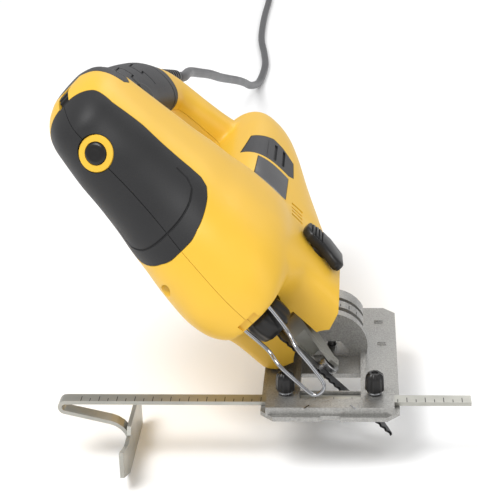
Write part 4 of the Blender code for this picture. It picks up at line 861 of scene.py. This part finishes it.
def make_guard() -> None:
    """The bent wire guard in front of the blade."""
    side = np.array([(9.7, -51, 60.5), (9.7, -51, 55.5), (8, -55, 40), (7.1, -63, 32), (6.2, -66.5, 20),
                     (4.5, -69.5, 9)])
    other = side[::-1] * (-1, 1, 1)
    route = spaced(np.vstack([side, [(0, -70.5, 6.7)], other]), 1.6)
    place(sweep("guard_wire", route, 1.1, 16), CHROME, "housing", "chrome", "wire_guard", sharp=60)


def make_roller() -> None:
    """The grooved roller that backs the blade."""
    start = Vector((-3.6, -35.7, 3))
    profile = [(0, 5.5), (0.4, 5.95), (2.7, 5.95), (3.0, 5.2), (4.2, 5.2), (4.5, 5.95), (6.8, 5.95),
               (7.2, 5.5)]
    wheel = turned("guide_roller", profile, start, Vector((1, 0, 0)), 56)
    combine(wheel, turned("bore", [(-1, 1.8), (9, 1.8)], start, Vector((1, 0, 0)), 24))
    place(wheel, STEEL, "roller", "steel", "roller")


def make_knobs() -> None:
    """Thumb screws: a lobed grip on a stem, and a coil spring under each."""
    up = Vector((0, 0, 1))
    for side, name in SIDES:
        spot = Vector((side * 24.5, -59, 0))
        profile = [(9.4, 4.9), (9.8, 5.15), (11, 5.15), (16.6, 4.95), (18.6, 4.5), (19.9, 3.0)]
        knob = turned("knob_" + name, profile, spot, up, 96, (9, 0.045))
        combine(knob, turned("dimple", [(19, 1.6), (21, 2.4)], spot, up, 32))
        combine(knob, turned("stem", [(5.5, 2), (10, 2)], spot, up, 24), "UNION")
        place(knob, BLACK, "knob_" + name, "black_plastic", "thumb_screw_" + name, leaned=False)
        turn = np.linspace(0, 2 * np.pi * 2, 64)
        coil = np.stack([spot.x + 3.7 * np.cos(turn), spot.y + 3.7 * np.sin(turn),
                         7.65 + 1.05 * turn / turn[-1]],
                        axis=-1)
        spring = sweep("spring_" + name, coil, 0.42, 8)
        place(spring, CHROME, "base", "chrome", "thumb_spring_" + name, leaned=False, sharp=60)


def make_rail_scale() -> None:
    """Fine ticks along the top of the rail, every five millimetres, longer at each ten."""
    points, faces = [], []
    for i in range(43):
        x = 72 - i * 5.0
        long = 5.0 if i % 2 == 0 else 3.0
        low, high = (x - 0.22, x + 0.22), (-65.2, -65.2 + long)
        first = len(points)
        points += [(a, b, c) for a in low for b in high for c in (5.02, 5.13)]
        faces += [[first + n for n in face] for face in BOX_FACES]
    place(new_object("rail_ticks", np.array(points), faces), INK, "fence", "zinc", leaned=False)


def make_base_details() -> None:
    """Raised bars on the rear of the plate, bevel-scale marks on the drum and the sight line's marks."""
    for i, (x, y) in enumerate(((29.5, 7), (28, 36), (-29.5, 7), (-28, 36))):
        for row in (0, 2.6):
            bar = rounded(box("plate_bar_%d_%d" % (i, row), (x - 2.6, x + 2.6), (y + row, y + row + 1.0),
                              (2.4, 3.1)), 0.3, 2)
            place(bar, CAST, "base", "cast_metal", leaned=False)
    for i in range(9):
        angle = math.radians(-60 + i * 15)
        out = Vector((math.sin(angle), 0, math.cos(angle)))
        side = Vector((math.cos(angle), 0, -math.sin(angle)))
        centre = Vector((0, 5.6, 9)) + out * 20.55
        if abs(centre.x) > 17.5:
            continue
        corners = [centre + side * a + Vector((0, b, 0)) + out * c
                   for a in (-0.25, 0.25) for b in (0, 4.5 if i % 2 == 0 else 3) for c in (-0.1, 0.12)]
        mark = new_object("bevel_mark_%d" % i, np.array([tuple(p) for p in corners]), list(BOX_FACES))
        place(mark, INK, "base", "cast_metal", leaned=False)
    for side, name in SIDES:
        outline = [(side * 13.5, -76.2), (side * 14.5, -76.2), (side * 11.6, -72.2),
                   (side * 10.8, -72.2)]
        place(prism("sight_mark_" + name, outline, 6.85, 7.1, "Z"), CHROME, "base", "cast_metal",
              leaned=False)


def make_relief() -> None:
    """Strain relief: a tapered sleeve with ring grooves and a collar at the housing."""
    profile = [(-9, 6.1), (-1, 6.1), (0.5, 6.0)]
    for i in range(6):
        length = 2.5 + i * 4.1
        radius = 5.9 - i * 0.2
        profile += [(length, radius), (length + 0.5, radius - 0.7), (length + 1.7, radius - 0.7),
                    (length + 2.2, radius)]
    profile += [(27.4, 4.7), (28, 4.3)]
    place(turned("relief_sleeve", profile, RELIEF, RELIEF_OUT, 40), BLACK, "housing", "black_rubber",
          "strain_relief")


def lead_route() -> np.ndarray:
    """Returns the lead's centre line: exit, sag, floor, coil and the short run to the plug."""
    leaving = [RELIEF + RELIEF_OUT * (RELIEF_LENGTH + 0.6 + more) for more in (0, 14)]
    way_out = [LEAN @ (point * MM) / MM for point in leaving]
    start = np.array([tuple(point) for point in way_out] + list(CORD_ROUTE), float)
    loops = []
    turns = (COIL_OUTER - COIL_INNER) / COIL_PITCH
    count = round(TURN_POINTS * turns)
    for i in range(count):
        share = i / TURN_POINTS
        loops.append((COIL_OUTER - COIL_PITCH * share, -2 * np.pi * share, COIL_LOW))
    for i in range(1, CLIMB_POINTS + 1):
        rise = 7.1 * (0.5 - 0.5 * math.cos(math.pi * i / CLIMB_POINTS))
        loops.append((COIL_INNER, -2 * np.pi * (turns + i / TURN_POINTS), COIL_LOW + rise))
    begun = turns + CLIMB_POINTS / TURN_POINTS
    for i in range(1, count + 1):
        share = i / TURN_POINTS
        loops.append((COIL_INNER + COIL_PITCH * share, -2 * np.pi * (begun + share), COIL_HIGH))
    turned_points = [(COIL.x + r * math.cos(math.pi + a), COIL.y + r * math.sin(math.pi + a), z)
                     for r, a, z in loops]
    tail = [(-36, 1124.2, -24), (-14, 1121, -26), (6, 1112.5, -27), (18, 1099, -26), (22.2, 1086, -24.9),
            (PLUG_X, 1078.6, -24.7)]
    return spaced(np.vstack([start, turned_points, tail]), 5.0)


def make_lead() -> None:
    """The lead from the strain relief to the plug, and the plug itself."""
    route = lead_route()
    lead = sweep("lead", route, CORD_RADIUS, 14)
    lead.data.materials.append(CORD.material())
    lead.data.shade_smooth()
    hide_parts("cord", "cord_coil")
    plug = make_plug()
    length = float(np.linalg.norm(np.diff(route, axis=0), axis=1).sum()) * MM
    LOG.info("lead %.3f m", length)
    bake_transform(lead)
    make_tie()


def make_tie() -> None:
    """A soft strap round the coil."""
    turn = 2 * np.pi * np.arange(40) / 40
    middle = Vector((COIL.x + 37.5, COIL.y, -26.9))
    rings = []
    for out, y in ((0.0, -4.5), (0.9, -4.2), (0.9, 4.2), (0.0, 4.5)):
        wide, high = 11.2 + out, 6.9 + min(out, 0.1)
        rings.append(np.stack([middle.x + wide * np.sign(np.cos(turn)) * np.abs(np.cos(turn)) ** 0.6,
                               np.full(40, middle.y + y),
                               middle.z + high * np.sign(np.sin(turn)) * np.abs(np.sin(turn)) ** 0.6], axis=-1))
    place(skin("coil_tie", np.array(rings)), BLACK, "base", "black_rubber", leaned=False)


def make_plug() -> bpy.types.Object:
    """A moulded two-pin plug with finger grips and pins."""
    along = Vector((0, 1, 0))
    start = Vector((PLUG_X, 1046, -24.7))
    profile = [(0, 7.4), (1, 8.4), (9, 8.5), (11, 7.6), (17, 7.6), (19, 8.2), (24, 7.2), (29, 5.4),
               (32, 4.4)]
    body = turned("plug_body", profile, start, along, 48)
    pins = [box("plug_pin", (PLUG_X + s * 5 - 0.8, PLUG_X + s * 5 + 0.8), (1029, 1047),
                (-27.7, -21.7)) for s in (-1, 1)]
    for pin in pins:
        combine(body, pin, "UNION")
    return place(body, BLACK, "base", "black_plastic", "plug", leaned=False)


def dress_cad_nodes(nodes: list[str]) -> None:
    """Gives every CAD node that still shows its finish.

    Args:
        nodes: the names of the frame's CAD nodes.
    """
    for node in nodes:
        obj = bpy.data.objects.get(node)
        if obj is None or obj.type != "MESH":
            continue
        finish = CAD_FINISHES.get(node, STEEL).material()
        obj.data.materials.clear()
        obj.data.materials.append(finish)


# ---------------------------------------------------------------- room


def make_camera() -> None:
    """A long lens in front of the saw, above it, turned a little anticlockwise."""
    yaw, drop, roll = math.radians(-4.47), math.radians(23.7), math.radians(-1.99)
    forward = Vector((math.sin(yaw) * math.cos(drop), math.cos(yaw) * math.cos(drop), -math.sin(drop)))
    right = Vector((math.cos(yaw), -math.sin(yaw), 0))
    up = right.cross(forward)
    across = right * math.cos(roll) + up * math.sin(roll)
    upright = -right * math.sin(roll) + up * math.cos(roll)
    lens = bpy.data.cameras.new("camera")
    lens.lens = 108
    lens.sensor_width = 36
    lens.clip_start = 0.01
    camera = bpy.data.objects.new("camera", lens)
    camera.matrix_world = Matrix.Translation((0.0152, -0.7845, 0.4128)) @ Matrix(
        (across, upright, -forward)).transposed().to_4x4()
    bpy.context.scene.collection.objects.link(camera)
    bpy.context.scene.camera = camera


def make_room() -> None:
    """A pale floor, a pale sky and three broad soft lights."""
    corners = [(-9000, -9000, FLOOR), (9000, -9000, FLOOR), (9000, 9000, FLOOR), (-9000, 9000, FLOOR)]
    floor = new_object("floor", np.array(corners, float), [[0, 1, 2, 3]])
    floor.data.materials.append(PAPER.material())
    sky = bpy.data.worlds.new("studio")
    sky.use_nodes = True
    sky.node_tree.nodes["Background"].inputs["Color"].default_value = (1, 1, 1, 1)
    sky.node_tree.nodes["Background"].inputs["Strength"].default_value = 0.6
    bpy.context.scene.world = sky
    bpy.context.scene.view_settings.view_transform = "Standard"
    for name, spot, power, size in (("key", (-0.7, -0.7, 1.5), 24, 0.8),
                                    ("fill", (1.3, -0.9, 0.9), 5, 1.2),
                                    ("back", (0.5, 1.3, 1.4), 9, 1.2)):
        light = bpy.data.lights.new(name, "AREA")
        light.energy = power
        light.size = size
        lamp = bpy.data.objects.new(name, light)
        lamp.location = spot
        lamp.rotation_euler = (Vector((0, 0, 0.08)) - Vector(spot)).to_track_quat("-Z", "Y").to_euler()
        bpy.context.scene.collection.objects.link(lamp)


def main(nodes: list[str]) -> None:
    """Builds the whole scene.

    Args:
        nodes: the names of the frame's CAD nodes.
    """
    make_camera()
    make_lead()
    Shell(voxel=1.5).build()
    make_controls()
    make_screw_heads()
    make_collar()
    make_guard()
    make_roller()
    make_knobs()
    make_rail_scale()
    make_base_details()
    make_relief()
    dress_cad_nodes(nodes)
    make_room()


if __name__ == "__main__":
    logging.basicConfig(level=logging.INFO)
    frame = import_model()
    main(list(frame["nodes"]))
